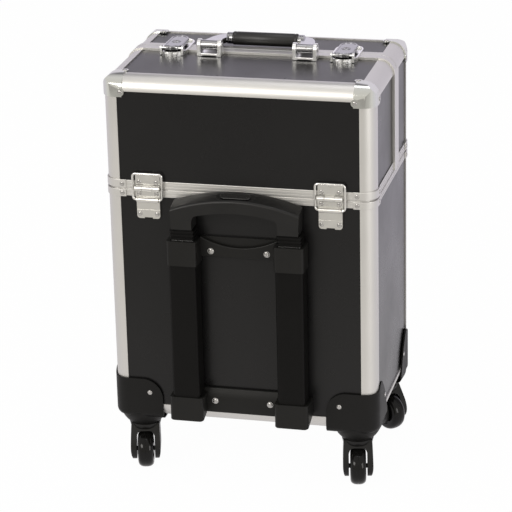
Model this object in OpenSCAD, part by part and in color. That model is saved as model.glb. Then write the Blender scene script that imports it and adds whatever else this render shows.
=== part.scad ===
// Rolling grooming case: a lower box and two lids that part along the width,
// aluminium edge rails, corner caps, wire hinges, a telescopic trolley and four casters.
// Millimetres, +Z up. Origin: on the floor, under the middle of the whole case.
// The trolley side looks along -Y.

/* [Case] */
// Width of the case over its faces
case_w = 340; // [300:1:400]
// Depth of the case over its faces
case_d = 228; // [210:1:280]
// Height of the lower box, underside to seam
body_h = 309; // [290:1:380]
// Height of the lids, seam to top
lid_h = 143; // [110:1:180]
// Distance of the parting of the lids from the trolley side
split_at = 135; // [130:1:150]

/* [Rails and panels] */
// Leg of the quarter-round edge rail
rail_leg = 19; // [18.5:0.5:24]
// Outer radius of the edge rail
rail_r = 18; // [15:0.5:18]
// Start of the rail's panel slot, from the outer corner
slot_start = 13; // [13:0.5:14]
// Thickness of a panel
panel_t = 5; // [4:0.5:6]
// How far a panel's face lies behind the rail's face
panel_inset = 1.5; // [1:0.1:2]
// Thickness of the rail's inner flange
flange_t = 1.6; // [1.2:0.1:2.5]
// Play at the edge of a panel in its slot
slot_play = 0.5; // [0.3:0.1:1]
// Height of a rim at the seam
rim_h = 10; // [8:0.5:12]
// Thickness of a rim, outside to inside
rim_t = 10; // [9:0.5:12]
// Depth of a rim's panel slot
rim_slot = 5; // [3:0.5:6]
// Gap between the closed lids and the lower box
seam_gap = 0.3; // [0.2:0.1:0.6]
// Height and depth of the groove along the seam
seam_groove = 1.5; // [0.8:0.1:2]
// Width of each lid's rim at the parting
split_w = 13; // [11:0.5:15]
// How far the parting rims stand proud of the rails
split_proud = 2; // [1:0.5:3]
// Gap between the two parting rims
split_gap = 0.6; // [0.4:0.1:1]

/* [Caps and guards] */
// Sheet thickness of the metal caps
cap_t = 1.5; // [1:0.1:2]
// Reach of a top corner cap along each edge
cap_len = 26; // [22:0.5:32]
// Radius of a cap's rivet tab
tab_r = 5; // [4:0.1:6]
// Height of a tab's rivet below the top
tab_down = 20; // [18:0.5:22]
// Reach of a seam cap from the corner
seam_cap_len = 27; // [24:0.5:32]
// Wall of the bottom corner guards
guard_t = 2; // [1.5:0.1:3]
// Floor of the bottom corner guards
guard_floor = 2; // [2:0.5:5]
// Reach of a guard's lobes along the faces
guard_w = 64; // [58:1:80]
// Height of a guard's lobe up the long face, and over the rail
guard_h = 53; // [46:1:57]
// Rounding of the lobe on the long face
guard_r = 26; // [15:1:30]
// Height of a guard's lobe up the side face
guard_side_h = 62; // [58:1:72]
// Rounding of the lobe on the side face
guard_side_r = 36; // [24:1:40]
// Radius of a rivet head
rivet_r = 3; // [2:0.1:3.5]
// Height of a rivet head
rivet_h = 1.1; // [0.6:0.1:2]

/* [Hinges] */
// Distance of a hinge's middle from the side face
hinge_in = 55; // [51:1:60]
// Width of the hinge leaves
hinge_w = 33; // [31:0.5:36]
// Thickness of the hinge leaves
leaf_t = 2; // [1.5:0.1:2.5]
// Height of the upper leaf above the hinge axis
leaf_up = 17; // [15:1:22]
// Reach of the lower leaf below the hinge axis
leaf_down = 40; // [36:1:48]
// Stand-off of the hinge axis from the face
axis_out = 5; // [4.8:0.1:6]
// Height of the hinge axis above the seam
axis_up = 2; // [1:0.5:3]
// Outer radius of a knuckle
knuckle_r = 3.6; // [3.2:0.1:3.8]
// Radius of the hinge pin
pin_r = 1.8; // [1.4:0.1:2]
// Running clearance of pins, stems and plugs in their bores
bore_play = 0.08; // [0.05:0.01:0.1]
// Length of the lid's knuckle
knuckle_len = 13; // [10:0.5:16]
// Radius of the bail wire
wire_r = 1.5; // [1.2:0.1:1.7]
// Drop of the bail's pivot below the hinge axis
bail_drop = 15; // [14:0.5:18]
// Length of the bail, pivot to top bar
bail_len = 33.5; // [33.5:0.5:40]
// Play between the bail and the leaves' edges
bail_play = 0.6; // [0.4:0.1:1]
// Bend radius of the bail's corners
bail_bend = 4; // [3:0.5:5]
// Distance of the leaves' rivets from the hinge's middle
leaf_rivet_x = 11; // [9:0.5:11.5]
// Distance of the upper two pairs of rivets from the hinge axis
leaf_rivet_z = 7.5; // [7:0.5:10]
// Height of the lowest pair of rivets above the leaf's foot
foot_rivet_z = 6; // [5:0.5:10]

/* [Carry handle] */
// Distance of a bracket's middle from the middle of the case
bracket_x = 61; // [56:1:70]
// Width of a bracket over its ears
bracket_w = 31; // [28:1:36]
// Depth of a bracket
bracket_d = 15; // [12:0.5:16]
// Thickness of a bracket's sheet
bracket_t = 3; // [2:0.5:4]
// Distance of the handle's pivot from the trolley side
handle_at = 114; // [100:0.5:115]
// Height of the handle's pivot above the rails
handle_up = 12; // [11:0.5:16]
// Radius of the handle's pivot pin
handle_pin_r = 2.5; // [2:0.1:3]
// Length of the handle's arms, pivot to grip
handle_arm = 46; // [44:0.5:60]
// Drop of the folded grip's middle below the pivot
handle_drop = 3; // [1:0.5:3.5]
// Radius of the carry grip
grip_r = 8.5; // [7:0.1:9]
// Length of the carry grip
grip_len = 84; // [76:1:86]
// Radius of the rod inside the carry grip
rod_r = 4; // [3:0.1:5]

/* [Latches] */
// Distance of a latch's middle from the middle of the case
latch_x = 109; // [102:1:116]
// Width of the latch lever
lever_w = 23; // [20:0.5:26]
// Length of the latch lever
lever_len = 54; // [50:1:58]
// Thickness of the latch lever
lever_t = 4.5; // [3.5:0.5:6]
// Distance of the lever's pivot from the trolley side
lever_at = 108; // [105:0.5:110]
// Height of the lever's pivot above the rails
lever_up = 7.5; // [7.3:0.1:9]
// Radius of the lever's pivot pin
lever_pin_r = 1.5; // [1.2:0.1:1.8]
// Radius of the key plug
key_r = 4.2; // [3.5:0.1:5]
// Width of the oval dish under a lever
dish_w = 35; // [33:0.5:38]
// Width of the dish's raised rim
dish_rim = 3; // [2:0.5:3.5]
// Height of the dish's raised rim above the parting rims
dish_up = 1.8; // [1.4:0.1:2]

/* [Trolley] */
// Distance of the trolley grip's end from a hinge's middle
grip_in = 34; // [32:0.5:40]
// Stand-off of the tubes' middle from the face
tube_out = 15.5; // [15:0.5:20]
// Width of a housing
housing_w = 35; // [34:0.5:38]
// Depth of a housing
housing_d = 26; // [25:0.5:28]
// Wall of a housing
housing_wall = 2; // [1.5:0.1:2.5]
// Distance of the housings' open end below the seam
housing_drop = 64; // [60:1:80]
// Width of a middle tube
mid_w = 28; // [26:0.5:28]
// Depth of a middle tube
mid_d = 19; // [18:0.5:19]
// Wall of the sliding tubes
tube_wall = 1.5; // [1:0.1:2]
// Sliding clearance of each tube in its guide
slide_play = 0.3; // [0.2:0.05:0.5]
// Width of an inner tube
inner_w = 21; // [18:0.5:21]
// Depth of an inner tube
inner_d = 12; // [11:0.5:12]
// Height of the collar on a middle tube
collar_h = 12; // [8:0.5:14]
// Wall of that collar
collar_wall = 1.5; // [1:0.1:2]
// How deep an inner tube's top lies below the grip's crown
socket_drop = 32; // [28:1:34]
// Height of the top bracket's sleeves
sleeve_h = 32; // [26:1:36]
// Height of the foot bracket's sleeves
foot_h = 32; // [26:1:40]
// Height of the foot bracket's soles above the case's bottom
foot_up = 12.5; // [10:0.5:14]
// Height of its cross plate above the case's bottom
plate_up = 17; // [16:0.5:20]
// Height of its cross plate
foot_plate_h = 32; // [28:1:36]
// Height of the top bracket's cross plate
plate_h = 26; // [22:1:30]
// Thickness of the cross plates, in front of the rails
plate_t = 7; // [5:0.5:9]
// Depth of the trolley grip
tgrip_d = 24; // [22:0.5:26]
// Height of the grip's crown above the seam
tgrip_up = 5.5; // [2:0.5:5.5]
// Rise of the grip's arch
tgrip_rise = 15; // [8:0.5:20]
// Thickness of the grip's bar
tgrip_bar = 22; // [18:0.5:26]
// Width of the grip's legs
tgrip_leg = 27; // [25:0.5:30]
// Length of the push button
button_len = 38; // [30:1:44]
// Width of the push button
button_w = 11; // [9:0.5:14]
// How far the push button stands above the grip
button_up = 0.8; // [0.5:0.1:1]
// Travel of the push button
button_travel = 3.5; // [2:0.5:5]
// Thickness of the push button
button_t = 6; // [4:0.5:8]
// Distance of a bracket screw from the tube's middle
screw_in = 32; // [30:0.5:36]
// Radius of a bracket screw's head
screw_r = 4; // [3:0.1:5]
// Height of a bracket screw's head
screw_h = 2; // [1.5:0.1:3]
// Width of the screw's cross
screw_slot = 0.8; // [0.6:0.1:1]

/* [Casters] */
// Distance of a swivel axis from both faces
swivel_in = 30; // [30:0.5:36]
// Radius of a wheel
wheel_r = 24; // [20:0.5:24.5]
// Width of a wheel
wheel_w = 20; // [16:0.5:21]
// Trail of the wheel behind the swivel axis
trail = 15; // [13:0.5:18]
// Height of the guards' undersides above the floor
caster_h = 74; // [73.5:0.5:85]
// Height of the fixed swivel socket
socket_h = 14; // [13:0.5:16]
// Radius of the socket where it meets the guard
socket_top_r = 28; // [26:0.5:29]
// Radius of the socket at its lower end
socket_r = 21; // [20:0.5:23]
// Radius of the swivel stem
stem_r = 5; // [4:0.1:6]
// Running gap between socket and fork
swivel_gap = 0.5; // [0.3:0.1:1]
// Width of a fork
fork_w = 38.5; // [37:0.5:40]
// Thickness of a fork's prong
prong_t = 7.5; // [6:0.5:8]
// Height of a fork's crown
crown_t = 7.5; // [6:0.5:8]
// Radius of a fork's crown at its upper edge
crown_r = 20.5; // [19.5:0.1:21]
// Rounding of a prong's lower end
prong_r = 13; // [12:0.5:15]
// Gap between a wheel and the fork's hood above it
hood_gap = 2; // [1.5:0.1:2.5]
// Radius of a wheel's axle
axle_r = 3; // [2.5:0.1:4]
// Turn of the near left caster
near_left_turn = 14; // [-90:1:90]
// Turn of the near right caster
near_right_turn = 12; // [-90:1:90]
// Turn of the two far casters away from the width
far_turn = -40; // [-90:1:90]

/* [Hidden] */
$fn = 48;
e = 0.01;
ground = caster_h + guard_floor;
seam = ground + body_h;
top = seam + lid_h;
hinge_z = seam + axis_up;
sleeve_w = housing_w + 3;
sleeve_d = 2*tube_out - 1;
foot_w = sleeve_w + 5;
front_reach = tube_out + max(sleeve_d, housing_d, tgrip_d)/2;
back_reach = axis_out + knuckle_r;
y_near = (front_reach - back_reach - case_d)/2;
y_far = y_near + case_d;
y_split = y_near + split_at;
half_w = case_w/2;
hinge_x = half_w - hinge_in;
tgrip_half = hinge_x - grip_in;
tube_x = tgrip_half - tgrip_leg/2;
edge = slot_start + slot_play;
inner_at = panel_inset + panel_t + flange_t;
near_split = y_split - split_gap/2 - split_w;
far_split = y_split + split_gap/2 + split_w;
lid_floor = seam + seam_gap/2;
panel_top = top - panel_inset;
alu = [0.80, 0.79, 0.76];
chrome = [0.78, 0.79, 0.82];
board = [0.17, 0.165, 0.16];
plastic = [0.09, 0.088, 0.083];
zinc = [0.62, 0.62, 0.60];

// Turn that brings a corner drawn in the first quadrant to the quadrant of the signs a, b
function quad(a, b) = a > 0 ? (b > 0 ? 0 : 270) : (b > 0 ? 90 : 180);

// Local frame of a long face: x along it, -y outwards, seen from outside
module on_face(far) {
    translate([0, far ? y_far : y_near, 0]) rotate([0, 0, far ? 180 : 0]) children();
}

// Block from one corner to the opposite one
module block(a, b) {
    translate(a) cube(b - a);
}

// Straight-sided shape with round ends, length along x
module stadium(len, width) {
    square([len - width, width], center = true);
    for (s = [-1, 1]) translate([s*(len - width)/2, 0]) circle(width/2);
}

// Outline of a case corner at the origin, grown outwards by off
module quadrant(off, len) {
    intersection() {
        translate([-off, -off]) square(len + off);
        union() {
            translate([rail_r, rail_r]) circle(rail_r + off);
            translate([rail_r, -off]) square([len, len + off]);
            translate([-off, rail_r]) square([len + off, len]);
        }
    }
}

// Solid corner of the case, grown outwards by off
module corner_block(off, len) {
    intersection() {
        translate([0, 0, -off]) linear_extrude(len + off) quadrant(off, len);
        translate([-off, 0, 0]) rotate([90, 0, 90]) linear_extrude(len + off) quadrant(off, len);
        translate([0, len, 0]) rotate([90, 0, 0]) linear_extrude(len + off) quadrant(off, len);
    }
}

// Turn a corner drawn in the first octant to the corner of the signs
module in_octant(xa, ya, za) {
    rotate([0, 0, za > 0 ? quad(xa, ya) : quad(xa, ya) - 270])
        rotate([za > 0 ? 0 : 180, 0, 0]) children();
}

// Section of the edge rail: round outside, a slot for each panel
module rail_profile() {
    difference() {
        quadrant(0, rail_leg);
        translate([inner_at, inner_at]) square(rail_leg);
        translate([slot_start, panel_inset]) square([rail_leg, panel_t]);
        translate([panel_inset, slot_start]) square([panel_t, rail_leg]);
    }
}

module rail_x(y, z, ya, za, x0, x1) {
    translate([x0, y, z]) rotate([90, 0, 90]) linear_extrude(x1 - x0)
        rotate(quad(ya, za)) rail_profile();
}

module rail_y(x, z, xa, za, y0, y1) {
    translate([x, y1, z]) rotate([90, 0, 0]) linear_extrude(y1 - y0)
        rotate(quad(xa, za)) rail_profile();
}

module rail_z(x, y, xa, ya, z0, z1) {
    translate([x, y, z0]) linear_extrude(z1 - z0) rotate(quad(xa, ya)) rail_profile();
}

// Plan of the case from y0 to y1 as far as it is inset by off, round at its corners
module plan(off) {
    w = case_w - 2*off;
    d = case_d - 2*off;
    r = rail_r - off;
    translate([0, (y_near + y_far)/2]) {
        square([w - 2*r, d], center = true);
        square([w, d - 2*r], center = true);
        for (sx = [-1, 1], sy = [-1, 1]) translate([sx*(w/2 - r), sy*(d/2 - r)]) circle(r);
    }
}

module rim_ring(off) {
    difference() {
        plan(off);
        plan(rim_t);
    }
}

// Slots of a rim: long faces and side faces
module rim_slots(z0) {
    for (y = [y_near + panel_inset, y_far - panel_inset - panel_t])
        block([-half_w + slot_start, y, z0], [half_w - slot_start, y + panel_t, z0 + rim_slot]);
    for (x = [-half_w + panel_inset, half_w - panel_inset - panel_t])
        block([x, y_near + slot_start, z0], [x + panel_t, y_far - slot_start, z0 + rim_slot]);
}

// Lower box

module body_near_panel() {
    color(board) block([-half_w + edge, y_near + panel_inset, ground + edge],
        [half_w - edge, y_near + panel_inset + panel_t, seam - rim_h + rim_slot - slot_play]);
}

module body_far_panel() {
    color(board) block([-half_w + edge, y_far - panel_inset - panel_t, ground + edge],
        [half_w - edge, y_far - panel_inset, seam - rim_h + rim_slot - slot_play]);
}

module body_side_panels() {
    color(board) for (x = [-half_w + panel_inset, half_w - panel_inset - panel_t])
        block([x, y_near + edge, ground + edge],
            [x + panel_t, y_far - edge, seam - rim_h + rim_slot - slot_play]);
}

module body_floor_panel() {
    color(board) block([-half_w + edge, y_near + edge, ground + panel_inset],
        [half_w - edge, y_far - edge, ground + panel_inset + panel_t]);
}

module body_corner_posts() {
    color(alu) for (s = [-1, 1]) {
        rail_z(s*half_w, y_near, -s, 1, ground + rail_leg, seam - rim_h);
        rail_z(s*half_w, y_far, -s, -1, ground + rail_leg, seam - rim_h);
    }
}

module body_base_rails() {
    color(alu) {
        rail_x(y_near, ground, 1, 1, -half_w + rail_leg, half_w - rail_leg);
        rail_x(y_far, ground, -1, 1, -half_w + rail_leg, half_w - rail_leg);
        for (s = [-1, 1])
            rail_y(s*half_w, ground, -s, 1, y_near + rail_leg, y_far - rail_leg);
    }
}

module body_rim() {
    color(alu) difference() {
        translate([0, 0, seam - rim_h]) linear_extrude(rim_h - seam_gap/2) rim_ring(0);
        translate([0, 0, seam - seam_groove]) linear_extrude(seam_groove) difference() {
            plan(-1);
            plan(seam_groove);
        }
        rim_slots(seam - rim_h - e);
    }
}

// Pressed sleeve round the end of a rim, from z0 to z1, with its rivet tab
module seam_cap(z0, z1) {
    translate([0, 0, z0]) linear_extrude(z1 - z0) difference() {
        quadrant(cap_t, seam_cap_len);
        quadrant(0, seam_cap_len + 1);
    }
}

seam_rivet_in = seam_cap_len - 5;

module body_seam_caps() {
    color(alu) for (sx = [-1, 1], far = [false, true])
        translate([sx*half_w, far ? y_far : y_near, 0]) rotate([0, 0, quad(-sx, far ? -1 : 1)])
            seam_cap(seam - rim_h - 1, seam - seam_groove);
}

// Outline of a lobe: distance from the corner, height; rounded by r at its free corner
module guard_lobe(h, r) {
    translate([-guard_t, -guard_floor]) square([guard_w - r + guard_t, h + guard_floor]);
    translate([-guard_t, -guard_floor]) square([guard_w + guard_t, h - r + guard_floor]);
    translate([guard_w - r, h - r]) circle(r);
}

module guard_floor_plan() {
    intersection() {
        quadrant(guard_t, guard_w);
        union() {
            translate([-guard_t, -guard_t]) square([guard_w - guard_r + guard_t, guard_w + guard_t]);
            translate([-guard_t, -guard_t]) square([guard_w + guard_t, guard_w - guard_r + guard_t]);
            translate([guard_w - guard_r, guard_w - guard_r]) circle(guard_r);
        }
    }
}

// Moulded corner guard, local x along the long face: a lobe on each face, a floor for the caster
module corner_guard() {
    pad_at = rail_leg + 0.2;
    translate([0, 0, -guard_floor]) linear_extrude(guard_floor) guard_floor_plan();
    intersection() {
        union() {
            translate([0, 0, -e]) linear_extrude(guard_side_h + e) difference() {
                quadrant(guard_t, guard_w);
                quadrant(0, guard_w + 1);
            }
            block([pad_at, -e, pad_at], [guard_w, panel_inset, guard_h]);
            block([-e, pad_at, pad_at], [panel_inset, guard_w, guard_side_h]);
        }
        union() {
            translate([0, rail_leg, 0]) rotate([90, 0, 0]) linear_extrude(rail_leg + guard_t)
                guard_lobe(guard_h, guard_r);
            translate([-guard_t, 0, 0]) rotate([90, 0, 90]) linear_extrude(rail_leg + guard_t)
                difference() {
                    guard_lobe(guard_side_h, guard_side_r);
                    translate([-guard_t - 1, guard_h]) square([rail_leg + guard_t - 1, guard_side_h]);
                }
        }
    }
}

module corner_guards() {
    color(plastic) for (sx = [0, 1], far = [0, 1])
        translate([(2*sx - 1)*half_w, far ? y_far : y_near, ground])
            mirror([sx, 0, 0]) mirror([0, far, 0]) corner_guard();
}

// Rivet head: its foot at the origin, standing up along +z
module rivet() {
    cylinder(r = rivet_r, h = rivet_h*0.5);
    translate([0, 0, rivet_h*0.5]) cylinder(r1 = rivet_r, r2 = rivet_r*0.6, h = rivet_h*0.5);
}

// Rivet on a long face (local frame of on_face) at height z, standing on a surface out mm proud
module face_rivet(x, z, out) {
    translate([x, -out, z]) rotate([90, 0, 0]) rivet();
}

// Rivet on a side face at y, z
module side_rivet(s, y, z, out) {
    translate([s*(half_w + out), y, z]) rotate([0, s*90, 0]) rivet();
}

guard_rivet_x = 47;
guard_rivet_z = 35;

module body_rivets() {
    color(chrome) {
        for (far = [false, true]) on_face(far) for (s = [-1, 1]) {
            face_rivet(s*(half_w - guard_rivet_x), ground + guard_rivet_z, guard_t);
            face_rivet(s*(half_w - seam_rivet_in), seam - 6, cap_t);
            for (t = [-1, 1]) {
                face_rivet(s*hinge_x + t*leaf_rivet_x, hinge_z - leaf_rivet_z, leaf_t);
                face_rivet(s*hinge_x + t*leaf_rivet_x, hinge_z - leaf_down + foot_rivet_z, leaf_t);
            }
        }
        for (s = [-1, 1]) {
            for (y = [y_near + guard_rivet_x, y_far - guard_rivet_x])
                side_rivet(s, y, ground + guard_rivet_z, guard_t);
            for (y = [y_near + seam_rivet_in, y_far - seam_rivet_in])
                side_rivet(s, y, seam - 6, cap_t);
        }
    }
}

// Hinges, drawn in the local frame of a long face

module knuckle(x0, x1, r, bore) {
    translate([x0, -axis_out, hinge_z]) rotate([0, 90, 0]) difference() {
        cylinder(r = r, h = x1 - x0);
        translate([0, 0, -1]) cylinder(r = bore, h = x1 - x0 + 2);
    }
}

leaf_gap = knuckle_r + 0.6;
barrel_r = wire_r + 1.7;
barrel_out = barrel_r + 0.8;
bail_half = hinge_w/2 + bail_play + wire_r;
barrel_w = 2*(bail_half - bail_bend) - 0.2;
foot_plate_w = hinge_w - 2;
foot_round = 4;
foot_lobe = 10;
foot_notch = 1.5;

// Foot of the lower leaf, its two rounded lobes at the bottom, height h
module foot_outline(h) {
    difference() {
        union() {
            translate([-foot_plate_w/2, foot_round]) square([foot_plate_w, h - foot_round]);
            translate([-foot_plate_w/2 + foot_round, 0]) square([foot_plate_w - 2*foot_round, h]);
            for (s = [-1, 1]) translate([s*(foot_plate_w/2 - foot_round), foot_round])
                circle(foot_round);
        }
        translate([-foot_plate_w/2 + foot_lobe, -1])
            square([foot_plate_w - 2*foot_lobe, foot_notch + 1]);
    }
}

module lower_leaf() {
    difference() {
        union() {
            block([-hinge_w/2, -leaf_t, hinge_z - bail_drop], [hinge_w/2, 0, hinge_z - leaf_gap]);
            for (s = [-1, 1]) {
                x0 = s < 0 ? -hinge_w/2 : knuckle_len/2 + 0.3;
                x1 = s < 0 ? -knuckle_len/2 - 0.3 : hinge_w/2;
                block([x0, -leaf_t, hinge_z - leaf_gap - e], [x1, 0, hinge_z]);
                knuckle(x0, x1, knuckle_r, pin_r);
            }
            translate([-barrel_w/2, -barrel_out, hinge_z - bail_drop]) rotate([0, 90, 0])
                cylinder(r = barrel_r, h = barrel_w);
            block([-barrel_w/2, -barrel_out, hinge_z - bail_drop - 2],
                [barrel_w/2, 0, hinge_z - bail_drop + 2]);
            translate([0, 0, hinge_z - leaf_down]) rotate([90, 0, 0]) linear_extrude(leaf_t)
                foot_outline(leaf_down - bail_drop);
            translate([0, panel_inset, hinge_z - leaf_down]) rotate([90, 0, 0])
                linear_extrude(panel_inset + e) foot_outline(seam - rim_h - hinge_z + leaf_down);
        }
        translate([-barrel_w/2 - 1, -barrel_out, hinge_z - bail_drop]) rotate([0, 90, 0])
            cylinder(r = wire_r + bore_play, h = barrel_w + 2);
        translate([-hinge_w, -axis_out, hinge_z]) rotate([0, 90, 0])
            cylinder(r = pin_r, h = 2*hinge_w);
    }
}

module upper_leaf() {
    difference() {
        union() {
            block([-hinge_w/2, -leaf_t, hinge_z + leaf_gap], [hinge_w/2, 0, hinge_z + leaf_up]);
            block([-hinge_w/2, -e, lid_floor + rim_h], [hinge_w/2, panel_inset, hinge_z + leaf_up]);
            block([-knuckle_len/2, -leaf_t, hinge_z], [knuckle_len/2, 0, hinge_z + leaf_gap + e]);
            knuckle(-knuckle_len/2, knuckle_len/2, knuckle_r, pin_r);
        }
        translate([-hinge_w, -axis_out, hinge_z]) rotate([0, 90, 0])
            cylinder(r = pin_r + bore_play, h = 2*hinge_w);
    }
}

// Wire loop of a hinge: pivot bar in the leaf's barrel, top bar over the upper leaf
module bail() {
    straight = bail_half - bail_bend;
    translate([0, -barrel_out, hinge_z - bail_drop]) {
        for (z = [0, bail_len]) translate([-straight, 0, z]) rotate([0, 90, 0])
            cylinder(r = wire_r, h = 2*straight);
        for (s = [-1, 1]) {
            translate([s*bail_half, 0, bail_bend]) cylinder(r = wire_r, h = bail_len - 2*bail_bend);
            for (t = [0, 1])
                translate([s*straight, 0, t ? bail_len - bail_bend : bail_bend]) rotate([90, 0, 0])
                    rotate(quad(s, t ? 1 : -1)) rotate_extrude(angle = 90)
                        translate([bail_bend, 0]) circle(wire_r);
        }
    }
}

module body_hinge_leaves() {
    color(zinc) for (far = [false, true], s = [-1, 1])
        on_face(far) translate([s*hinge_x, 0, 0]) lower_leaf();
}

module hinge_pins() {
    color(chrome) for (far = [false, true], s = [-1, 1])
        on_face(far) translate([s*hinge_x - hinge_w/2, -axis_out, hinge_z]) rotate([0, 90, 0])
            cylinder(r = pin_r, h = hinge_w);
}

module near_bails() {
    color(chrome) for (s = [-1, 1]) on_face(false) translate([s*hinge_x, 0, 0]) bail();
}

module far_bails() {
    color(chrome) for (s = [-1, 1]) on_face(true) translate([s*hinge_x, 0, 0]) bail();
}

// Lids: y0 is the long face, y1 the parting edge; dir is +1 from the trolley side, -1 from the far side

module lid_long_panel(y, dir) {
    y0 = y + dir*panel_inset;
    y1 = y + dir*(panel_inset + panel_t);
    block([-half_w + edge, min(y0, y1), lid_floor + rim_h - rim_slot + slot_play],
        [half_w - edge, max(y0, y1), top - edge]);
}

module lid_top_panel(y, dir, y_rim) {
    y0 = y + dir*edge;
    y1 = y_rim + dir*(rim_slot - slot_play);
    block([-half_w + edge, min(y0, y1), panel_top - panel_t],
        [half_w - edge, max(y0, y1), panel_top]);
}

module lid_side_panels(y, dir, y_rim) {
    y0 = y + dir*edge;
    y1 = y_rim + dir*(rim_slot - slot_play);
    for (x = [-half_w + panel_inset, half_w - panel_inset - panel_t])
        block([x, min(y0, y1), lid_floor + rim_h - rim_slot + slot_play],
            [x + panel_t, max(y0, y1), top - edge]);
}

module lid_rails(y, dir, y_rim) {
    rail_x(y, top, dir, -1, -half_w + rail_leg, half_w - rail_leg);
    y0 = y + dir*rail_leg;
    for (s = [-1, 1]) {
        rail_z(s*half_w, y, -s, dir, lid_floor + rim_h, top - rail_leg);
        rail_y(s*half_w, top, -s, -1, min(y0, y_rim), max(y0, y_rim));
    }
}

module lid_rim(y, dir, y_rim) {
    difference() {
        translate([0, 0, lid_floor]) linear_extrude(rim_h) rim_ring(0);
        rim_slots(lid_floor + rim_h - rim_slot + e);
        block([-case_w, min(y_rim, y_rim + dir*case_d), seam - 1],
            [case_w, max(y_rim, y_rim + dir*case_d), seam + rim_h + 1]);
    }
}

// Arch round the open edge of a lid, standing proud of the rails
module split_arch(off, low) {
    r = rail_r - off;
    w = case_w - 2*off;
    translate([-w/2, low]) square([w, top - off - r - low]);
    translate([-w/2 + r, low]) square([w - 2*r, top - off - low]);
    for (s = [-1, 1]) translate([s*(w/2 - r), top - off - r]) circle(r);
}

module split_rim(y_rim, dir) {
    y0 = min(y_rim, y_rim + dir*split_w);
    slot0 = dir > 0 ? y0 - e : y0 + split_w - rim_slot;
    difference() {
        translate([0, y0 + split_w, 0]) rotate([90, 0, 0]) linear_extrude(split_w) difference() {
            split_arch(-split_proud, lid_floor);
            split_arch(rim_t, lid_floor - 1);
        }
        for (x = [-half_w + panel_inset, half_w - panel_inset - panel_t])
            block([x, slot0, seam - 1], [x + panel_t, slot0 + rim_slot + e, top - slot_start]);
        block([-half_w + slot_start, slot0, panel_top - panel_t],
            [half_w - slot_start, slot0 + rim_slot + e, panel_top]);
    }
}

// Pressed ball corner with a rivet tab on the long face and on the top
module ball_cap() {
    tab = cap_len - 2;
    difference() {
        union() {
            corner_block(cap_t, cap_len);
            translate([tab, 0, tab_down]) rotate([90, 0, 0]) cylinder(r = tab_r, h = cap_t);
            translate([tab, tab, -cap_t]) cylinder(r = tab_r, h = cap_t);
            translate([-cap_t, tab, tab_down]) rotate([0, 90, 0]) cylinder(r = tab_r, h = cap_t);
        }
        corner_block(0, cap_len + tab_r + 2);
    }
}

module lid_corner_caps(y, dir) {
    for (s = [-1, 1]) translate([s*half_w, y, top]) in_octant(-s, dir, -1) ball_cap();
}

module lid_seam_caps(y, dir) {
    for (s = [-1, 1]) translate([s*half_w, y, 0]) rotate([0, 0, quad(-s, dir)])
        seam_cap(seam + seam_groove/2, seam + rim_h + 1);
}

module lid_rivets(far) {
    tab = cap_len - 2;
    y = far ? y_far : y_near;
    dir = far ? -1 : 1;
    on_face(far) for (s = [-1, 1]) {
        face_rivet(s*(half_w - tab), top - tab_down, cap_t);
        face_rivet(s*(half_w - seam_rivet_in), seam + 5.5, cap_t);
        for (t = [-1, 1]) face_rivet(s*hinge_x + t*leaf_rivet_x, hinge_z + leaf_rivet_z, leaf_t);
    }
    for (s = [-1, 1]) {
        side_rivet(s, y + dir*tab, top - tab_down, cap_t);
        side_rivet(s, y + dir*seam_rivet_in, seam + 5.5, cap_t);
        translate([s*(half_w - tab), y + dir*tab, top + cap_t]) rivet();
    }
}

module near_lid_front_panel() {
    color(board) lid_long_panel(y_near, 1);
}

module near_lid_top_panel() {
    color(board) lid_top_panel(y_near, 1, near_split);
}

module near_lid_side_panels() {
    color(board) lid_side_panels(y_near, 1, near_split);
}

module near_lid_rails() {
    color(alu) lid_rails(y_near, 1, near_split);
}

module near_lid_rim() {
    color(alu) lid_rim(y_near, 1, near_split);
}

module near_lid_split_rim() {
    color(alu) split_rim(near_split, 1);
}

module near_lid_corner_caps() {
    color(chrome) lid_corner_caps(y_near, 1);
}

module near_lid_seam_caps() {
    color(alu) lid_seam_caps(y_near, 1);
}

module near_lid_hinge_leaves() {
    color(zinc) for (s = [-1, 1]) on_face(false) translate([s*hinge_x, 0, 0]) upper_leaf();
}

module near_lid_rivets() {
    color(chrome) lid_rivets(false);
}

module far_lid_back_panel() {
    color(board) lid_long_panel(y_far, -1);
}

module far_lid_top_panel() {
    color(board) lid_top_panel(y_far, -1, far_split);
}

module far_lid_side_panels() {
    color(board) lid_side_panels(y_far, -1, far_split);
}

module far_lid_rails() {
    color(alu) lid_rails(y_far, -1, far_split);
}

module far_lid_rim() {
    color(alu) lid_rim(y_far, -1, far_split);
}

module far_lid_split_rim() {
    color(alu) split_rim(far_split, -1);
}

module far_lid_corner_caps() {
    color(chrome) lid_corner_caps(y_far, -1);
}

module far_lid_seam_caps() {
    color(alu) lid_seam_caps(y_far, -1);
}

module far_lid_hinge_leaves() {
    color(zinc) for (s = [-1, 1]) on_face(true) translate([s*hinge_x, 0, 0]) upper_leaf();
}

module far_lid_rivets() {
    color(chrome) lid_rivets(true);
}

// Carry handle, folded down towards the far side

handle_y = y_near + handle_at;
handle_z = top + handle_up;
grip_y = handle_y + handle_arm;
grip_z = handle_z - handle_drop;
ear_play = 0.4;
arm_half = bracket_w/2 - bracket_t - ear_play;

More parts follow.
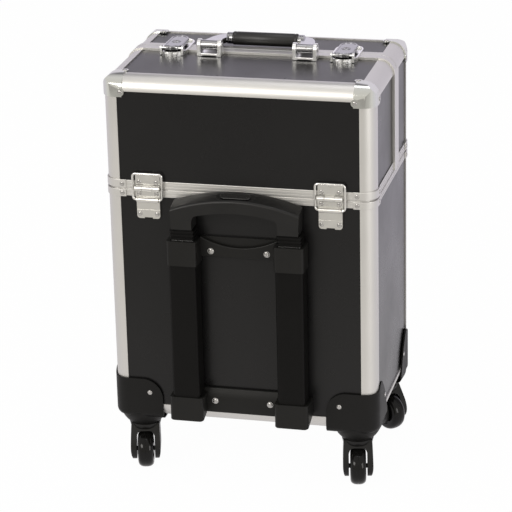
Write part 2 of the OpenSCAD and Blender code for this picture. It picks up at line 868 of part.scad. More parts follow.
module handle_brackets() {
    color(chrome) for (s = [-1, 1]) translate([s*bracket_x, handle_y, 0]) {
        block([-bracket_w/2, -bracket_d/2, panel_top], [bracket_w/2, bracket_d/2, panel_top + 2]);
        for (t = [-1, 1]) translate([t*(bracket_w - bracket_t)/2 - bracket_t/2, 0, 0]) {
            difference() {
                union() {
                    block([0, -bracket_d/2, panel_top + 2 - e], [bracket_t, bracket_d/2, handle_z]);
                    translate([0, 0, handle_z]) rotate([0, 90, 0])
                        cylinder(r = bracket_d/2, h = bracket_t);
                }
                translate([-1, 0, handle_z]) rotate([0, 90, 0])
                    cylinder(r = handle_pin_r, h = bracket_t + 2);
            }
        }
        translate([-bracket_w/2 - 1, 0, handle_z]) rotate([0, 90, 0])
            cylinder(r = handle_pin_r, h = bracket_w + 2);
    }
}

// One cast end of the handle, drawn for the +x side
module handle_arm_end() {
    slope = atan2(handle_drop, handle_arm);
    reach = norm([handle_arm, handle_drop]);
    t = 7;
    collar_r = grip_r - 1;
    collar_len = 8;
    outer = bracket_x + arm_half;
    inner = bracket_x - arm_half;
    translate([0, handle_y, handle_z]) rotate([-slope, 0, 0]) difference() {
        union() {
            translate([bracket_x - arm_half, 0, 0]) rotate([0, 90, 0])
                cylinder(r = 6, h = 2*arm_half);
            translate([0, 0, -t/2]) linear_extrude(t) polygon([
                [inner + 0.5, 0], [outer - 0.5, 0], [outer - 0.5, 12],
                [grip_len/2 + 22, reach - 5], [grip_len/2 + 16, reach + collar_r - 1.5],
                [grip_len/2 + 4, reach + collar_r - 1], [grip_len/2 + 4, reach - collar_r + 1],
                [inner + 0.5, 18]]);
            translate([grip_len/2, reach, 0]) rotate([0, 90, 0])
                cylinder(r = collar_r, h = collar_len);
        }
        rotate([0, 90, 0]) cylinder(r = handle_pin_r + bore_play, h = case_w/2);
    }
}

module handle_arms() {
    color(chrome) {
        handle_arm_end();
        mirror([1, 0, 0]) handle_arm_end();
        translate([-grip_len/2 - 1, grip_y, grip_z]) rotate([0, 90, 0])
            cylinder(r = rod_r, h = grip_len + 2);
    }
}

module handle_grip() {
    color(plastic) translate([-grip_len/2, grip_y, grip_z]) rotate([0, 90, 0]) difference() {
        cylinder(r = grip_r, h = grip_len);
        translate([0, 0, -1]) cylinder(r = rod_r, h = grip_len + 2);
    }
}

// Latches

lever_y = y_near + lever_at;
lever_z = top + lever_up;
lever_low = lever_z - lever_t/2 + 0.4;
lever_mid = lever_y + lever_len/2 - 4;
ear_span = lever_w + 7;
latch_ear = 2.5;
latch_ear_r = 3.5;
dish_half = y_split - lever_y + 7;
dish_floor_t = 1.8;
dish_pad_t = 1.2;
dish_step = near_split - 0.5;

// Outline of the dish, or of its inside, its middle on the parting line
module dish_outline(inset) {
    translate([0, y_split]) rotate(90) stadium(2*(dish_half - inset), dish_w - 2*inset);
}

// Floor and raised rim of the dish between two lines, standing on the surface at z0
module dish_piece(y0, y1, z0, floor_t) {
    translate([0, 0, z0]) {
        linear_extrude(floor_t) intersection() {
            dish_outline(0);
            translate([-dish_w, y0]) square([2*dish_w, y1 - y0]);
        }
        linear_extrude(top + split_proud + dish_up - z0) intersection() {
            difference() {
                dish_outline(0);
                dish_outline(dish_rim);
            }
            translate([-dish_w, y0]) square([2*dish_w, y1 - y0]);
        }
    }
}

// Half of the dish, on the near lid's panel and parting rim
module dish_near_half() {
    dish_piece(y_split - dish_half - 1, dish_step, panel_top, dish_floor_t);
    dish_piece(dish_step - e, y_split - split_gap/2, top + split_proud, dish_pad_t);
}

module latch_bases() {
    color(chrome) for (s = [-1, 1]) translate([s*latch_x, 0, 0]) {
        dish_near_half();
        for (t = [-1, 1]) translate([t*(ear_span - latch_ear)/2 - latch_ear/2, lever_y, 0])
            difference() {
                union() {
                    block([0, -latch_ear_r, panel_top], [latch_ear, latch_ear_r, lever_z]);
                    translate([0, 0, lever_z]) rotate([0, 90, 0])
                        cylinder(r = latch_ear_r, h = latch_ear);
                }
                translate([-1, 0, lever_z]) rotate([0, 90, 0])
                    cylinder(r = lever_pin_r, h = latch_ear + 2);
            }
        translate([-ear_span/2, lever_y, lever_z]) rotate([0, 90, 0])
            cylinder(r = lever_pin_r, h = ear_span);
    }
}

module latch_lever() {
    difference() {
        union() {
            translate([0, lever_mid, lever_low]) linear_extrude(lever_t)
                rotate(90) stadium(lever_len, lever_w);
            translate([-lever_w/2 - 0.6, lever_y, lever_z]) rotate([0, 90, 0])
                cylinder(r = 3.2, h = lever_w + 1.2);
        }
        translate([-lever_w, lever_y, lever_z]) rotate([0, 90, 0])
            cylinder(r = lever_pin_r + bore_play, h = 2*lever_w);
        translate([0, lever_mid, lever_low - 1])
            cylinder(r = key_r + bore_play, h = lever_t + 2);
    }
}

module key_plug() {
    translate([0, lever_mid, lever_low]) difference() {
        cylinder(r = key_r, h = lever_t + 0.3);
        block([-0.6, -2.6, lever_t - 1.5], [0.6, 2.6, lever_t + 1]);
    }
}

module left_latch_lever() {
    color(chrome) translate([-latch_x, 0, 0]) latch_lever();
}

module right_latch_lever() {
    color(chrome) translate([latch_x, 0, 0]) latch_lever();
}

module left_key_plug() {
    color(zinc) translate([-latch_x, 0, 0]) key_plug();
}

module right_key_plug() {
    color(zinc) translate([latch_x, 0, 0]) key_plug();
}

module latch_strikes() {
    color(chrome) for (t = [-1, 1]) translate([t*latch_x, 2*y_split, 0]) mirror([0, 1, 0])
        dish_near_half();
}

// Trolley, drawn in the local frame of the near face

// Upright tube with its middle line at the origin
module box_tube(w, d, wall, z0, z1) {
    difference() {
        block([-w/2, -d/2, z0], [w/2, d/2, z1]);
        block([-w/2 + wall, -d/2 + wall, z0 - 1], [w/2 - wall, d/2 - wall, z1 + 1]);
    }
}

module at_tubes() {
    for (s = [-1, 1]) translate([s*tube_x, y_near - tube_out, 0]) children();
}

foot_z = ground + foot_up;
plate_z = ground + plate_up;
housing_z = seam - housing_drop;
collar_z = housing_z + 10;
guide_z = housing_z + 8;
sleeve_z = guide_z - sleeve_h;
grip_top = seam + tgrip_up;
leg_z = collar_z + collar_h + 1;
hollow_r = 100;

module trolley_housings() {
    color(plastic) at_tubes() box_tube(housing_w, housing_d, housing_wall, foot_z + 4, housing_z);
}

module trolley_top_bracket() {
    color(plastic) difference() {
        union() {
            for (s = [-1, 1]) translate([s*tube_x, y_near, 0])
                block([-sleeve_w/2, -tube_out - sleeve_d/2, sleeve_z],
                    [sleeve_w/2, 0, guide_z]);
            block([-tube_x, y_near - plate_t, guide_z - plate_h], [tube_x, y_near, guide_z]);
            block([-tube_x + sleeve_w/2, y_near - e, guide_z - plate_h],
                [tube_x - sleeve_w/2, y_near + panel_inset, guide_z]);
        }
        at_tubes() block([-housing_w/2, -housing_d/2, sleeve_z - 1],
            [housing_w/2, housing_d/2, housing_z]);
        at_tubes() block([-mid_w/2 - slide_play, -mid_d/2 - slide_play, sleeve_z],
            [mid_w/2 + slide_play, mid_d/2 + slide_play, guide_z + 1]);
        translate([0, y_near + 5, guide_z + hollow_r - 10]) rotate([90, 0, 0])
            cylinder(r = hollow_r, h = plate_t + 10, $fn = 96);
    }
}

module trolley_foot_bracket() {
    color(plastic) difference() {
        union() {
            for (s = [-1, 1]) translate([s*tube_x, y_near, 0])
                block([-foot_w/2, -tube_out - sleeve_d/2, foot_z], [foot_w/2, 0, foot_z + foot_h]);
            block([-tube_x, y_near - plate_t, plate_z], [tube_x, y_near, plate_z + foot_plate_h]);
            block([-tube_x, y_near - e, ground + rail_leg + 2],
                [tube_x, y_near + panel_inset, plate_z + foot_plate_h]);
        }
        at_tubes() block([-housing_w/2, -housing_d/2, foot_z + 4],
            [housing_w/2, housing_d/2, foot_z + foot_h + 20]);
    }
}

module trolley_screws() {
    heights = [guide_z - plate_h + 2*screw_r, plate_z + foot_plate_h/2];
    slot_len = screw_r;
    color(chrome) translate([0, y_near - plate_t, 0]) for (s = [-1, 1], z = heights)
        translate([s*(tube_x - screw_in), 0, z]) rotate([90, 0, 0]) difference() {
            cylinder(r1 = screw_r, r2 = screw_r*0.75, h = screw_h);
            for (a = [0, 90]) rotate(a) translate([-slot_len/2, -screw_slot/2, screw_h/2])
                cube([slot_len, screw_slot, screw_h]);
        }
}

module mid_tubes() {
    color(zinc) at_tubes() {
        box_tube(mid_w, mid_d, tube_wall, foot_z + 8, collar_z - e);
        difference() {
            block([-mid_w/2 - collar_wall, -mid_d/2 - collar_wall, collar_z - collar_wall],
                [mid_w/2 + collar_wall, mid_d/2 + collar_wall, collar_z + collar_h]);
            block([-mid_w/2, -mid_d/2, collar_z - 2], [mid_w/2, mid_d/2, collar_z - e]);
            block([-inner_w/2 - slide_play, -inner_d/2 - slide_play, collar_z - 2],
                [inner_w/2 + slide_play, inner_d/2 + slide_play, collar_z + collar_h + 1]);
        }
    }
}

module inner_tubes() {
    color(chrome) at_tubes() box_tube(inner_w, inner_d, tube_wall, foot_z + 12, grip_top - socket_drop);
}

// Arched grip, its legs over the inner tubes, with a pocket for the push button
module trolley_grip() {
    rise_r = (pow(tgrip_half, 2) + pow(tgrip_rise, 2))/(2*tgrip_rise);
    corner = 8;
    end_z = grip_top - tgrip_rise;
    color(plastic) translate([0, y_near - tube_out, 0]) difference() {
        translate([0, tgrip_d/2, 0]) rotate([90, 0, 0]) linear_extrude(tgrip_d) difference() {
            intersection() {
                translate([0, grip_top - rise_r]) circle(rise_r, $fn = 144);
                translate([-tgrip_half, leg_z]) square([2*tgrip_half, grip_top - leg_z + 1]);
            }
            intersection() {
                translate([0, grip_top - rise_r]) circle(rise_r - tgrip_bar, $fn = 144);
                translate([-tgrip_half + tgrip_leg, leg_z - 1])
                    square([2*(tgrip_half - tgrip_leg), end_z - leg_z + tgrip_rise]);
            }
        }
        translate([0, 0, grip_top + button_up - button_t - button_travel - 0.5])
            linear_extrude(20) stadium(button_len + 1, button_w + 1);
        for (s = [-1, 1]) translate([s*tube_x, 0, 0])
            block([-inner_w/2, -inner_d/2, leg_z - 1], [inner_w/2, inner_d/2, grip_top - socket_drop]);
    }
}

module trolley_button() {
    color(plastic) translate([0, y_near - tube_out, grip_top + button_up - button_t])
        linear_extrude(button_t) stadium(button_len, button_w);
}

// Casters: swivel axis at the origin, trailing along -y, turned by turn

crown_z = ground - guard_floor - socket_h - swivel_gap;

module caster_sockets() {
    color(plastic) for (s = [-1, 1], y = [y_near + swivel_in, y_far - swivel_in])
        translate([s*(half_w - swivel_in), y, ground - guard_floor - socket_h]) difference() {
            rotate_extrude() polygon([[0, 0], [socket_r, 0], [socket_top_r - 2, socket_h/2],
                [socket_top_r, socket_h], [0, socket_h]]);
            translate([0, 0, -1]) cylinder(r = stem_r + bore_play, h = socket_h);
        }
}

module at_caster(s, far, turn) {
    translate([s*(half_w - swivel_in), far ? y_far - swivel_in : y_near + swivel_in, 0])
        rotate([0, 0, turn]) children();
}

// Side of a fork's prong: distance behind the swivel axis, height
module prong_outline() {
    translate([trail, wheel_r]) circle(prong_r);
    polygon([[-13, crown_z - 1], [13, crown_z - 1], [trail + prong_r*0.88, wheel_r + prong_r*0.45],
        [trail, wheel_r], [trail - prong_r*0.94, wheel_r - prong_r*0.33]]);
}

// Crown, two prongs and the hood between them over the wheel, with the stem and the axle
module fork() {
    translate([0, 0, crown_z - crown_t]) cylinder(r1 = fork_w/2, r2 = crown_r, h = crown_t);
    for (s = [-1, 1]) translate([s > 0 ? fork_w/2 : -fork_w/2 + prong_t, 0, 0])
        rotate([90, 0, -90]) linear_extrude(prong_t) prong_outline();
    translate([fork_w/2 - e, 0, 0]) rotate([90, 0, -90]) linear_extrude(fork_w - 2*e) difference() {
        prong_outline();
        translate([trail, wheel_r]) circle(wheel_r + hood_gap);
    }
    translate([0, 0, crown_z - e]) cylinder(r = stem_r, h = swivel_gap + socket_h - 1.5);
    translate([-fork_w/2 + prong_t - e, -trail, wheel_r]) rotate([0, 90, 0])
        cylinder(r = axle_r, h = fork_w - 2*prong_t + 2*e);
}

module wheel() {
    edge_r = 5;
    hub_r = axle_r + 4;
    groove_w = 5.5;
    groove_t = 1.5;
    translate([0, -trail, wheel_r]) rotate([0, 90, 0]) rotate_extrude() {
        difference() {
            union() {
                translate([0, -wheel_w/2]) square([wheel_r - edge_r, wheel_w]);
                translate([0, -wheel_w/2 + edge_r]) square([wheel_r, wheel_w - 2*edge_r]);
                for (t = [-1, 1]) translate([wheel_r - edge_r, t*(wheel_w/2 - edge_r)]) circle(edge_r);
            }
            translate([-1, -wheel_w]) square([1 + axle_r + bore_play, 2*wheel_w]);
            for (t = [-1, 1]) translate([hub_r, t*wheel_w/2 - groove_t]) square([groove_w, 2*groove_t]);
        }
    }
}

module near_left_fork() {
    color(plastic) at_caster(-1, false, near_left_turn) fork();
}

module near_right_fork() {
    color(plastic) at_caster(1, false, near_right_turn) fork();
}

module far_left_fork() {
    color(plastic) at_caster(-1, true, 180 + 90 - far_turn) fork();
}

module far_right_fork() {
    color(plastic) at_caster(1, true, 180 - 90 + far_turn) fork();
}

module near_left_wheel() {
    color(plastic) at_caster(-1, false, near_left_turn) wheel();
}

module near_right_wheel() {
    color(plastic) at_caster(1, false, near_right_turn) wheel();
}

module far_left_wheel() {
    color(plastic) at_caster(-1, true, 180 + 90 - far_turn) wheel();
}

module far_right_wheel() {
    color(plastic) at_caster(1, true, 180 - 90 + far_turn) wheel();
}

body_near_panel();
body_far_panel();
body_side_panels();
body_floor_panel();
body_corner_posts();
body_base_rails();
body_rim();
body_seam_caps();
corner_guards();
body_rivets();
body_hinge_leaves();
hinge_pins();
caster_sockets();
trolley_housings();
trolley_top_bracket();
trolley_foot_bracket();
trolley_screws();
near_lid_front_panel();
near_lid_top_panel();
near_lid_side_panels();
near_lid_rails();
near_lid_rim();
near_lid_split_rim();
near_lid_corner_caps();
near_lid_seam_caps();
near_lid_hinge_leaves();
near_lid_rivets();
handle_brackets();
latch_bases();
far_lid_back_panel();
far_lid_top_panel();
far_lid_side_panels();
far_lid_rails();
far_lid_rim();
far_lid_split_rim();
far_lid_corner_caps();
far_lid_seam_caps();
far_lid_hinge_leaves();
far_lid_rivets();
latch_strikes();
near_bails();
far_bails();
handle_arms();
handle_grip();
left_latch_lever();
right_latch_lever();
left_key_plug();
right_key_plug();
mid_tubes();
inner_tubes();
trolley_grip();
trolley_button();
near_left_fork();
near_right_fork();
far_left_fork();
far_right_fork();
near_left_wheel();
near_right_wheel();
far_left_wheel();
far_right_wheel();
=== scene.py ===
import math

import bpy
from mathutils import Matrix, Vector


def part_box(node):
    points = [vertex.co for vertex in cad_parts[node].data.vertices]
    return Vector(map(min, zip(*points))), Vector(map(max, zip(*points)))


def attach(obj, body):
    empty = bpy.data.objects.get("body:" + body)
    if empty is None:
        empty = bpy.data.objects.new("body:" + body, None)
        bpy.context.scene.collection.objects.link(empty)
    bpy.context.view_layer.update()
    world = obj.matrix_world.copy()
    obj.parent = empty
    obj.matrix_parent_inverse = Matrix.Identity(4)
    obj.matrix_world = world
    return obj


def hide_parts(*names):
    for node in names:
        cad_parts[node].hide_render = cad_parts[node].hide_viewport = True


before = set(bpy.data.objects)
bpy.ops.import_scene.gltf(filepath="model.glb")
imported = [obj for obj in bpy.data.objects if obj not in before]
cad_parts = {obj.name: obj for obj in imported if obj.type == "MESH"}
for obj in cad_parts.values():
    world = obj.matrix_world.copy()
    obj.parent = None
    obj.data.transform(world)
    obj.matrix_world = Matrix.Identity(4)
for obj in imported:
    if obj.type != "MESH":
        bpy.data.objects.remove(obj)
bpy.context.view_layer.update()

MM = 0.001

# Camera. It stands three metres from the trolley side, a little to the right and above,
# turned and tilted as the photograph was taken.
eye = Vector((0.693581, -2.808518, 1.351669))
turn_left = 0.244
look_down = 0.359
tilt = -0.024
bpy.ops.object.camera_add(location=eye)
camera = bpy.context.object
camera.name = "camera"
camera.matrix_world = (Matrix.Translation(eye) @ Matrix.Rotation(turn_left, 4, "Z")
                       @ Matrix.Rotation(math.pi/2 - look_down, 4, "X")
                       @ Matrix.Rotation(tilt, 4, "Z"))
camera.data.sensor_width = 36
camera.data.lens = 169.8
camera.data.clip_end = 50
bpy.context.scene.camera = camera
bpy.context.scene.view_settings.view_transform = "Standard"

# Surroundings. A studio: a bright lavender wall behind, a darker ceiling above it and a
# warm pale front. Seen directly it is plain white.
world = bpy.data.worlds.new("studio")
bpy.context.scene.world = world
world.use_nodes = True
nodes = world.node_tree.nodes
links = world.node_tree.links
nodes.clear()
out = nodes.new("ShaderNodeOutputWorld")
seen = nodes.new("ShaderNodeBackground")
seen.inputs["Color"].default_value = (1, 1, 1, 1)
room = nodes.new("ShaderNodeBackground")
where = nodes.new("ShaderNodeTexCoord")
split = nodes.new("ShaderNodeSeparateXYZ")
depth = nodes.new("ShaderNodeMapRange")
depth.inputs["From Min"].default_value = -1
walls = nodes.new("ShaderNodeValToRGB")
walls.color_ramp.elements[0].color = (0.79, 0.76, 0.70, 1)
walls.color_ramp.elements[1].color = (0.97, 0.92, 1.03, 1)
for towards_back, colour in ((0.45, (0.84, 0.82, 0.80, 1)), (0.62, (0.60, 0.58, 0.58, 1)),
                             (0.71, (0.28, 0.27, 0.28, 1)), (0.85, (0.28, 0.27, 0.29, 1)),
                             (0.92, (0.97, 0.92, 1.03, 1))):
    walls.color_ramp.elements.new(towards_back).color = colour
path = nodes.new("ShaderNodeLightPath")
pick = nodes.new("ShaderNodeMixShader")
links.new(where.outputs["Generated"], split.inputs[0])
links.new(split.outputs["Y"], depth.inputs["Value"])
links.new(depth.outputs["Result"], walls.inputs["Fac"])
links.new(walls.outputs["Color"], room.inputs["Color"])
links.new(path.outputs["Is Camera Ray"], pick.inputs["Fac"])
links.new(room.outputs[0], pick.inputs[1])
links.new(seen.outputs[0], pick.inputs[2])
links.new(pick.outputs[0], out.inputs["Surface"])


# Lamps. A wide key lamp high in front on the left, a second one overhead and a low fill
# from the right, all plain area lamps.
def area_lamp(name, place, aim, size, power, colour):
    bpy.ops.object.light_add(type="AREA", location=place)
    lamp = bpy.context.object
    lamp.name = name
    lamp.data.shape = "RECTANGLE"
    lamp.data.size, lamp.data.size_y = size
    lamp.data.energy = power
    lamp.data.color = colour
    lamp.rotation_euler = (Vector(aim) - Vector(place)).to_track_quat("-Z", "Y").to_euler()


area_lamp("key", (-1.5, -2.8, 1.9), (0, 0, 0.3), (1.6, 1.1), 46, (1.0, 0.97, 0.93))
area_lamp("overhead", (0.2, 0.1, 2.9), (0, 0, 0.5), (1.5, 1.0), 9, (0.97, 0.97, 1.0))
area_lamp("fill", (2.3, -1.6, 0.9), (0, 0, 0.3), (1.0, 1.3), 22, (1.0, 0.98, 0.96))

# Floor. A white sheet that the case stands on; it keeps the soft shadow of the casters.
# Mirrored in the case it glows with painted light instead, bright behind and dimming towards the camera.
bpy.ops.mesh.primitive_plane_add(size=24, location=(0, 0, 0))
floor = bpy.context.object
floor.name = "floor"
paper = bpy.data.materials.new("white_floor")
paper.use_nodes = True
nodes = paper.node_tree.nodes
links = paper.node_tree.links
plain = nodes["Principled BSDF"]
plain.inputs["Base Color"].default_value = (0.8, 0.79, 0.78, 1)
plain.inputs["Roughness"].default_value = 0.8
glow = nodes.new("ShaderNodeEmission")
glow.inputs["Color"].default_value = (1, 1, 1, 1)
path = nodes.new("ShaderNodeLightPath")
share = nodes.new("ShaderNodeMath")
share.operation = "MULTIPLY"
share.inputs[1].default_value = 0.98
pick = nodes.new("ShaderNodeMixShader")
links.new(path.outputs["Is Camera Ray"], share.inputs[0])
links.new(share.outputs[0], pick.inputs["Fac"])
links.new(plain.outputs[0], pick.inputs[1])
links.new(glow.outputs[0], pick.inputs[2])
# Glossy rays see a painted glow graded along the floor: painted light and shade in the case's reflections.
where = nodes.new("ShaderNodeTexCoord")
split = nodes.new("ShaderNodeSeparateXYZ")
depth = nodes.new("ShaderNodeMapRange")
depth.inputs["From Min"].default_value = -2.0
depth.inputs["From Max"].default_value = 1.0
painted_light_fade = nodes.new("ShaderNodeValToRGB")
painted_light_fade.color_ramp.elements[0].color = (0.46, 0.44, 0.41, 1)
painted_light_fade.color_ramp.elements[1].color = (0.90, 0.86, 0.95, 1)
for place_along, colour in ((0.3, (0.64, 0.62, 0.58, 1)), (0.5, (0.86, 0.83, 0.79, 1)), (0.7, (0.84, 0.82, 0.84, 1))):
    painted_light_fade.color_ramp.elements.new(place_along).color = colour
painted_floor_glow = nodes.new("ShaderNodeEmission")
choose = nodes.new("ShaderNodeMixShader")
links.new(where.outputs["Object"], split.inputs[0])
links.new(split.outputs["Y"], depth.inputs["Value"])
links.new(depth.outputs["Result"], painted_light_fade.inputs["Fac"])
links.new(painted_light_fade.outputs["Color"], painted_floor_glow.inputs["Color"])
links.new(path.outputs["Is Glossy Ray"], choose.inputs["Fac"])
links.new(pick.outputs[0], choose.inputs[1])
links.new(painted_floor_glow.outputs[0], choose.inputs[2])
links.new(choose.outputs[0], nodes["Material Output"].inputs["Surface"])
floor.data.materials.append(paper)


# Panels. Thin boards laminated black with a satin coat, slid into the rails' slots.
# The coat has a faint orange peel and dulls unevenly where hands wipe it.
def effect(name, values, results):
    """A shader node group with the named inputs and outputs, its two end nodes returned."""
    group = bpy.data.node_groups.new(name, "ShaderNodeTree")
    for label, value in values:
        socket = group.interface.new_socket(label, in_out="INPUT", socket_type="NodeSocketFloat")
        socket.default_value = value
    for label, kind in results:
        group.interface.new_socket(label, in_out="OUTPUT", socket_type=kind)
    return group, group.nodes.new("NodeGroupInput"), group.nodes.new("NodeGroupOutput")


def noise_on_surface(group, detail):
    """Noise in the piece's own coordinates, its scale left open."""
    place = group.nodes.new("ShaderNodeTexCoord")
    noise = group.nodes.new("ShaderNodeTexNoise")
    noise.inputs["Detail"].default_value = detail
    group.links.new(place.outputs["Object"], noise.inputs["Vector"])
    return noise


grain, given, result = effect("grain", [("Scale", 2000), ("Depth", 0.1)], [("Normal", "NodeSocketVector")])
speck = noise_on_surface(grain, 3)
relief = grain.nodes.new("ShaderNodeBump")
relief.inputs["Distance"].default_value = 0.0002
grain.links.new(given.outputs["Scale"], speck.inputs["Scale"])
grain.links.new(speck.outputs["Fac"], relief.inputs["Height"])
grain.links.new(given.outputs["Depth"], relief.inputs["Strength"])
grain.links.new(relief.outputs["Normal"], result.inputs["Normal"])

wiped, given, result = effect("wiped", [("Scale", 14), ("Low", 0.2), ("High", 0.4)],
                              [("Roughness", "NodeSocketFloat"), ("Mask", "NodeSocketFloat")])
cloud = noise_on_surface(wiped, 5)
cloud.inputs["Roughness"].default_value = 0.65
spread = wiped.nodes.new("ShaderNodeMapRange")
spread.inputs["From Min"].default_value = 0.3
spread.inputs["From Max"].default_value = 0.7
wiped.links.new(given.outputs["Scale"], cloud.inputs["Scale"])
wiped.links.new(cloud.outputs["Fac"], spread.inputs["Value"])
wiped.links.new(given.outputs["Low"], spread.inputs["To Min"])
wiped.links.new(given.outputs["High"], spread.inputs["To Max"])
wiped.links.new(spread.outputs["Result"], result.inputs["Roughness"])
wiped.links.new(cloud.outputs["Fac"], result.inputs["Mask"])


def finish(name, colour, gloss, metal=0.0, grain_size=2000, grain_depth=0.1, patch=14, shade=0.12, **constants):
    """A finish: its colour, the range of its roughness, and the size and depth of its grain."""
    material = bpy.data.materials.new(name)
    material.use_nodes = True
    nodes = material.node_tree.nodes
    links = material.node_tree.links
    skin = nodes["Principled BSDF"]
    skin.inputs["Metallic"].default_value = metal
    for socket, value in constants.items():
        skin.inputs[socket.replace("_", " ")].default_value = value
    rubbed = nodes.new("ShaderNodeGroup")
    rubbed.node_tree = wiped
    rubbed.inputs["Scale"].default_value = patch
    rubbed.inputs["Low"].default_value = gloss[0]
    rubbed.inputs["High"].default_value = gloss[1]
    links.new(rubbed.outputs["Roughness"], skin.inputs["Roughness"])
    speckled = nodes.new("ShaderNodeGroup")
    speckled.node_tree = grain
    speckled.inputs["Scale"].default_value = grain_size
    speckled.inputs["Depth"].default_value = grain_depth
    links.new(speckled.outputs["Normal"], skin.inputs["Normal"])
    tint = nodes.new("ShaderNodeMix")
    tint.data_type = "RGBA"
    tint.inputs["A"].default_value = (*[c*(1 - shade) for c in colour], 1)
    tint.inputs["B"].default_value = (*[min(1, c*(1 + shade)) for c in colour], 1)
    links.new(rubbed.outputs["Mask"], tint.inputs["Factor"])
    links.new(tint.outputs["Result"], skin.inputs["Base Color"])
    return material


def dress(material, *names):
    """Gives CAD nodes the finish of their real pieces."""
    for name in names:
        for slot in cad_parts[name].material_slots:
            slot.material = material


laminate = finish("black_laminate", (0.005, 0.0048, 0.005), (0.24, 0.34), grain_size=900, grain_depth=0.03,
                  patch=6, Specular_IOR_Level=0.32)
dress(laminate, "body_near_panel", "body_far_panel", "body_side_panels", "body_floor_panel",
      "near_lid_front_panel", "near_lid_top_panel", "near_lid_side_panels",
      "far_lid_back_panel", "far_lid_top_panel", "far_lid_side_panels")


# Edge rails. Quarter-round aluminium extrusions with a slot for each panel, bead-blasted and
# anodised to a satin silver, with faint lines along their length from the die.
def alone(piece):
    """Selects one piece and makes it the active one."""
    bpy.ops.object.select_all(action="DESELECT")
    piece.select_set(True)
    bpy.context.view_layer.objects.active = piece


def apply_modifiers(piece):
    alone(piece)
    for modifier in list(piece.modifiers):
        bpy.ops.object.modifier_apply(modifier=modifier.name)


def soften(piece, width, segments=3, angle=32):
    """Rolls every sharp edge over by a small radius and shades the piece evenly."""
    alone(piece)
    bpy.ops.object.shade_smooth_by_angle(angle=math.radians(50))
    roll = piece.modifiers.new("roll", "BEVEL")
    roll.width = width
    roll.segments = segments
    roll.limit_method = "ANGLE"
    roll.angle_limit = math.radians(angle)
    roll.use_clamp_overlap = True
    even = piece.modifiers.new("even", "WEIGHTED_NORMAL")
    even.keep_sharp = True
    apply_modifiers(piece)


def taken_from(node, name):
    """The shape of a CAD node as a new piece, its loose triangles merged to clean faces."""
    piece = bpy.data.objects.new(name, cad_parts[node].data.copy())
    bpy.context.collection.objects.link(piece)
    alone(piece)
    bpy.ops.mesh.customdata_custom_splitnormals_clear()
    bpy.ops.object.mode_set(mode="EDIT")
    bpy.ops.mesh.select_all(action="SELECT")
    bpy.ops.mesh.remove_doubles(threshold=0.005*MM)
    bpy.ops.mesh.normals_make_consistent(inside=False)
    bpy.ops.mesh.dissolve_limited(angle_limit=math.radians(0.6))
    bpy.ops.object.mode_set(mode="OBJECT")
    return piece


def block(name, low, high):
    """A box between two corners."""
    bpy.ops.object.select_all(action="DESELECT")
    bpy.ops.mesh.primitive_cube_add(size=1, location=(Vector(low) + Vector(high))/2)
    piece = bpy.context.object
    piece.name = name
    piece.scale = Vector(high) - Vector(low)
    bpy.ops.object.transform_apply(location=True, rotation=True, scale=True)
    return piece


def combine(piece, tool, how):
    """Adds, cuts or intersects a piece with a second one, which is used up."""
    alone(piece)
    step = piece.modifiers.new("step", "BOOLEAN")
    step.operation = how
    step.solver = "EXACT"
    step.object = tool
    bpy.ops.object.modifier_apply(modifier="step")
    bpy.data.objects.remove(tool)


def put_on(piece, body, slot, material, *replaced):
    """Gives a piece its finish, its body and the CAD nodes that it stands for; the slot is not used."""
    piece.data.materials.clear()
    piece.data.materials.append(material)
    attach(piece, body)
    if replaced:
        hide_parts(*replaced)


anodised = finish("satin_anodised", (0.67, 0.66, 0.64), (0.42, 0.50), metal=1.0, grain_size=1600,
                  grain_depth=0.10, patch=9, shade=0.03)
dress(anodised, "body_corner_posts", "body_base_rails", "near_lid_rails", "far_lid_rails")

# Rims. Frames along the seam, each with two fine grooves round its face, and proud ones along
# the parting of the lids, cut from the same aluminium, their outer edges rounded by the die.
seam_low, seam_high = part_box("body_rim")
for node, body in (("body_rim", "case"), ("near_lid_rim", "near_lid"), ("far_lid_rim", "far_lid"),
                   ("near_lid_split_rim", "near_lid"), ("far_lid_split_rim", "far_lid")):
    rim = taken_from(node, node + "_drawn")
    soften(rim, (1.4 if "split" in node else 0.9)*MM, 4)
    for share_up in () if "split" in node else (0.32, 0.70):
        low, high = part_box(node)
        groove_z = low.z + (high.z - low.z)*share_up
        ring = block("ring", (seam_low.x - 1*MM, seam_low.y - 1*MM, groove_z - 0.4*MM),
                     (seam_high.x + 1*MM, seam_high.y + 1*MM, groove_z + 0.4*MM))
        core = block("core", (seam_low.x + 0.5*MM, seam_low.y + 0.5*MM, groove_z - 1*MM),
                     (seam_high.x - 0.5*MM, seam_high.y - 0.5*MM, groove_z + 1*MM))
        combine(ring, core, "DIFFERENCE")
        combine(rim, ring, "DIFFERENCE")
    put_on(rim, body, "rail_aluminium", anodised, node)

# Seam sleeves. Thin pressed sheet that wraps each corner of the rims and takes two rivets.
for node, body in (("body_seam_caps", "case"), ("near_lid_seam_caps", "near_lid"),
                   ("far_lid_seam_caps", "far_lid")):
    sleeve = taken_from(node, node + "_pressed")
    soften(sleeve, 0.55*MM, 3)
    put_on(sleeve, body, "rail_aluminium", anodised, node)

# Ball corners. Chromed pressings over the lids' corners, each with a rivet tab on three faces.
chrome = finish("chrome_plate", (0.68, 0.69, 0.665), (0.07, 0.15), metal=1.0, grain_size=700,
                grain_depth=0.03, patch=40, shade=0.03, Specular_Tint=(0.82, 0.82, 0.79, 1))
for node, body in (("near_lid_corner_caps", "near_lid"), ("far_lid_corner_caps", "far_lid")):
    cap = taken_from(node, node + "_pressed")
    soften(cap, 0.6*MM, 3)
    put_on(cap, body, "cap_chrome", chrome, node)


